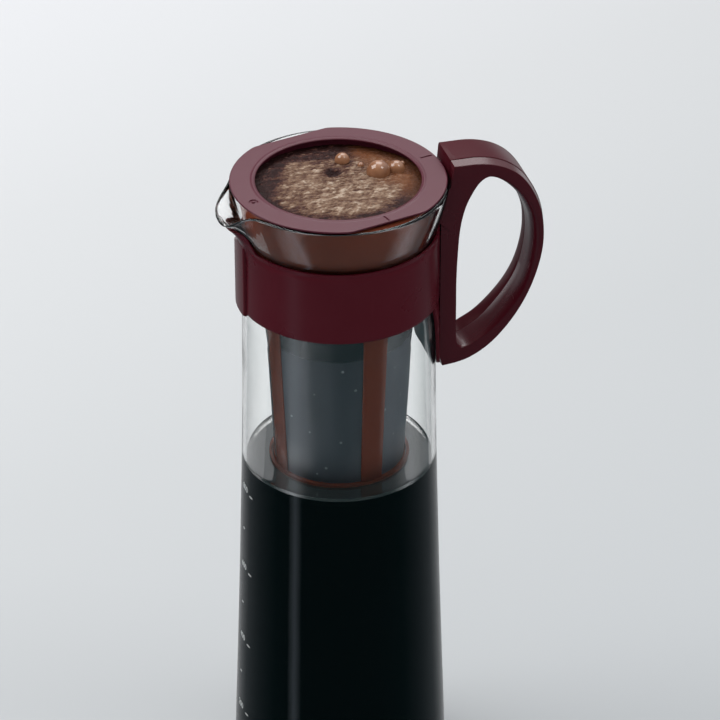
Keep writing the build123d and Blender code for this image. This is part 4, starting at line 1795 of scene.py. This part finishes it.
@dataclass
class Studio:
    """Pale floor, soft light and the camera."""

    azimuth: float = -15.5
    elevation: float = 31.5
    distance: float = 1.6
    lens: float = 195.0
    aim_height: float = 0.2035
    aim_shift: float = 0.00866
    lamps: tuple[Lamp, ...] = field(default_factory=lambda: (
        Lamp(Side.KEY, (-0.75, 0.35, 1.35), (0.0, 0.0, 0.2), 0.9, 9.6),
        Lamp(Side.BACK, (0.35, 0.9, 1.5), (0.0, 0.0, 0.2), 1.0, 8.0),
        Lamp(Side.FILL, (0.75, -0.45, 1.6), (0.0, 0.0, 0.2), 0.5, 3.0)))

    def build_camera(self) -> None:
        """Camera on the axis' side, raised, at the measured distance."""
        turn, lift = math.radians(self.azimuth), math.radians(self.elevation)
        back = Vector((math.sin(turn) * math.cos(lift), -math.cos(turn) * math.cos(lift),
                       math.sin(lift)))
        right = Vector((math.cos(turn), math.sin(turn), 0.0))
        data = bpy.data.cameras.new("camera")
        data.lens, data.clip_start = self.lens, 0.05
        camera = bpy.data.objects.new("camera", data)
        camera.location = (Vector((0, 0, self.aim_height)) + right * self.aim_shift
                           + back * self.distance)
        camera.rotation_euler = back.to_track_quat("Z", "Y").to_euler()
        bpy.context.scene.collection.objects.link(camera)
        bpy.context.scene.camera = camera

    def build_floor(self) -> None:
        """Large pale floor with a slow change of tone, left out of mirror images; inside the glass
        its mirror image is dark with a soft light strip on either side."""
        radius = np.linspace(0.0, 4000.0, 30)
        top, under = (np.stack([radius, np.full_like(radius, height)], axis=1)
                      for height in (-0.05, -4.0))
        shell = Shell(turned(np.concatenate([top, under[::-1]]), even_turn(96)), first_pole=True,
                      last_pole=True)
        floor = make_object("floor", [shell])
        surface = Surface("floor_paper", Roughness=0.9, Specular_IOR_Level=0.0)
        kit = surface.kit
        x, y, _ = kit.split(kit.place())
        tone = kit.ramp(x * -0.24 + y * 0.768 + 0.25, (0.20, colour(0.570, 0.590, 0.605)),
                        (0.45, colour(0.610, 0.625, 0.635)), (0.65, colour(0.680, 0.690, 0.700)),
                        (0.88, colour(0.800, 0.805, 0.825)))
        ray = kit.add("ShaderNodeLightPath")
        turn = abs(kit.math("ARCTAN2", x, y * -1.0))
        mirrored = kit.mix(soft_strip(turn, 1.28, 0.40), colour(0.050, 0.080, 0.086),
                           colour(0.92, 0.95, 1.0))
        pale = kit.mix(0.45, tone, grey(1.0))
        seen = kit.mix(ray["Is Transmission Ray"], tone, pale)
        surface.feed(Base_Color=kit.mix(inner_mirror(ray, y, 0.11), seen, mirrored))
        floor.data.materials.append(surface.material)
        floor.visible_glossy = False

    def build_world(self) -> None:
        """Soft dome: pale to the eye and through glass; in gloss it is bright above and behind,
        and dark below, with one soft upright band of light at the left."""
        world = bpy.data.worlds.new("studio")
        world.use_nodes = True
        bpy.context.scene.world = world
        kit = Nodes(world.node_tree)
        ray = kit.add("ShaderNodeLightPath")
        x, y, z = kit.split(kit.place("Generated"))
        ahead = x * 0.134 + y * 0.482
        rear = kit.ramp(ahead + 0.5, (0.40, colour(0.026, 0.068, 0.076)),
                        (0.60, colour(0.085, 0.120, 0.135)), (0.76, colour(0.15, 0.175, 0.19)),
                        (0.93, colour(0.42, 0.43, 0.44)))
        horizon = kit.ramp(z + 0.5, (0.16, grey(0.0)), (0.28, grey(1.0)))
        glow = horizon * ((ahead - 0.28).at_least(0.0) * 5.0)
        rear = kit.mix(glow.at_most(1.0), rear, colour(0.96, 0.97, 1.0))
        strip = soft_strip(kit.math("ARCTAN2", x, y * -1.0), -1.18, 0.15)
        low = kit.mix(strip * 0.8, rear, colour(0.65, 0.78, 0.90))
        high = kit.ramp(y * 0.30 + z * 0.70 + x * 0.40, (0.06, colour(0.05, 0.05, 0.055)),
                        (0.46, colour(0.10, 0.10, 0.105)), (0.69, colour(0.58, 0.58, 0.60)),
                        (0.89, grey(1.0)))
        gloss = kit.mix(kit.ramp(z + 0.5, (0.48, grey(0.0)), (0.56, grey(1.0))), low, high)
        seen = ray["Is Camera Ray"].at_least(ray["Is Transmission Ray"])
        direct = kit.mix(seen, colour(0.55, 0.56, 0.57), colour(0.78, 0.80, 0.81))
        mirrored = inner_mirror(ray, y, 0.3).at_least(ray["Is Glossy Ray"])
        background = world.node_tree.nodes["Background"]
        kit.join(kit.mix(mirrored, direct, gloss), background.inputs["Color"])
        background.inputs["Strength"].default_value = 1.0

    def build(self) -> None:
        """Set up everything that isn't the object."""
        bpy.context.scene.view_settings.view_transform = "Standard"
        self.build_camera()
        self.build_floor()
        self.build_world()
        for lamp in self.lamps:
            lamp.build()


# ------------------------------------------------------------------------------------ assembly
def finish_cad_node(name: str, material: bpy.types.Material) -> None:
    """Give a carried-over node a better material.

    Args:
        name: the node.
        material: its finish.
    """
    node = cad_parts[name]
    node.data.materials.clear()
    node.data.materials.append(material)
    LOG.info("%s keeps its solid and gets %s", name, material.name)


def main() -> None:
    """Build the studio and every sub-assembly in order, and report the pieces."""
    logging.basicConfig(level=logging.INFO, format="%(name)s: %(message)s")
    Studio().build()
    groups = Groups()
    burgundy, brown = BURGUNDY.build(groups), BROWN.build(groups)
    mesh_finish = StrainerMesh().build(groups)
    jug = GlassJug(ClearGlass().build(), ScaleInk().build())
    jug.build_glass()
    jug.build_scale()
    coffee = Coffee(jug, DEEP_BREW.build(), OPEN_BREW_PAINTED_SHEEN.build())
    coffee.build_body()
    coffee.build_surface()
    band = NeckBand(jug, burgundy)
    band.build_band()
    band.build_pad()
    Handle(jug, HANDLE_BURGUNDY.build(groups), COVER_BURGUNDY.build(groups)).build()
    TopRing(RING_BURGUNDY.build(groups)).build()
    strainer = Strainer(brown, mesh_finish)
    strainer.build_frame()
    for index in range(PANELS):
        strainer.build_panel(index)
    finish_cad_node("base_cap", brown)
    finish_cad_node("base_mesh", mesh_finish)
    grounds = Grounds(WetFoam().build(), BubbleFilm().build())
    grounds.build_bed()
    grounds.build_bubbles()


if __name__ == "__main__":
    main()
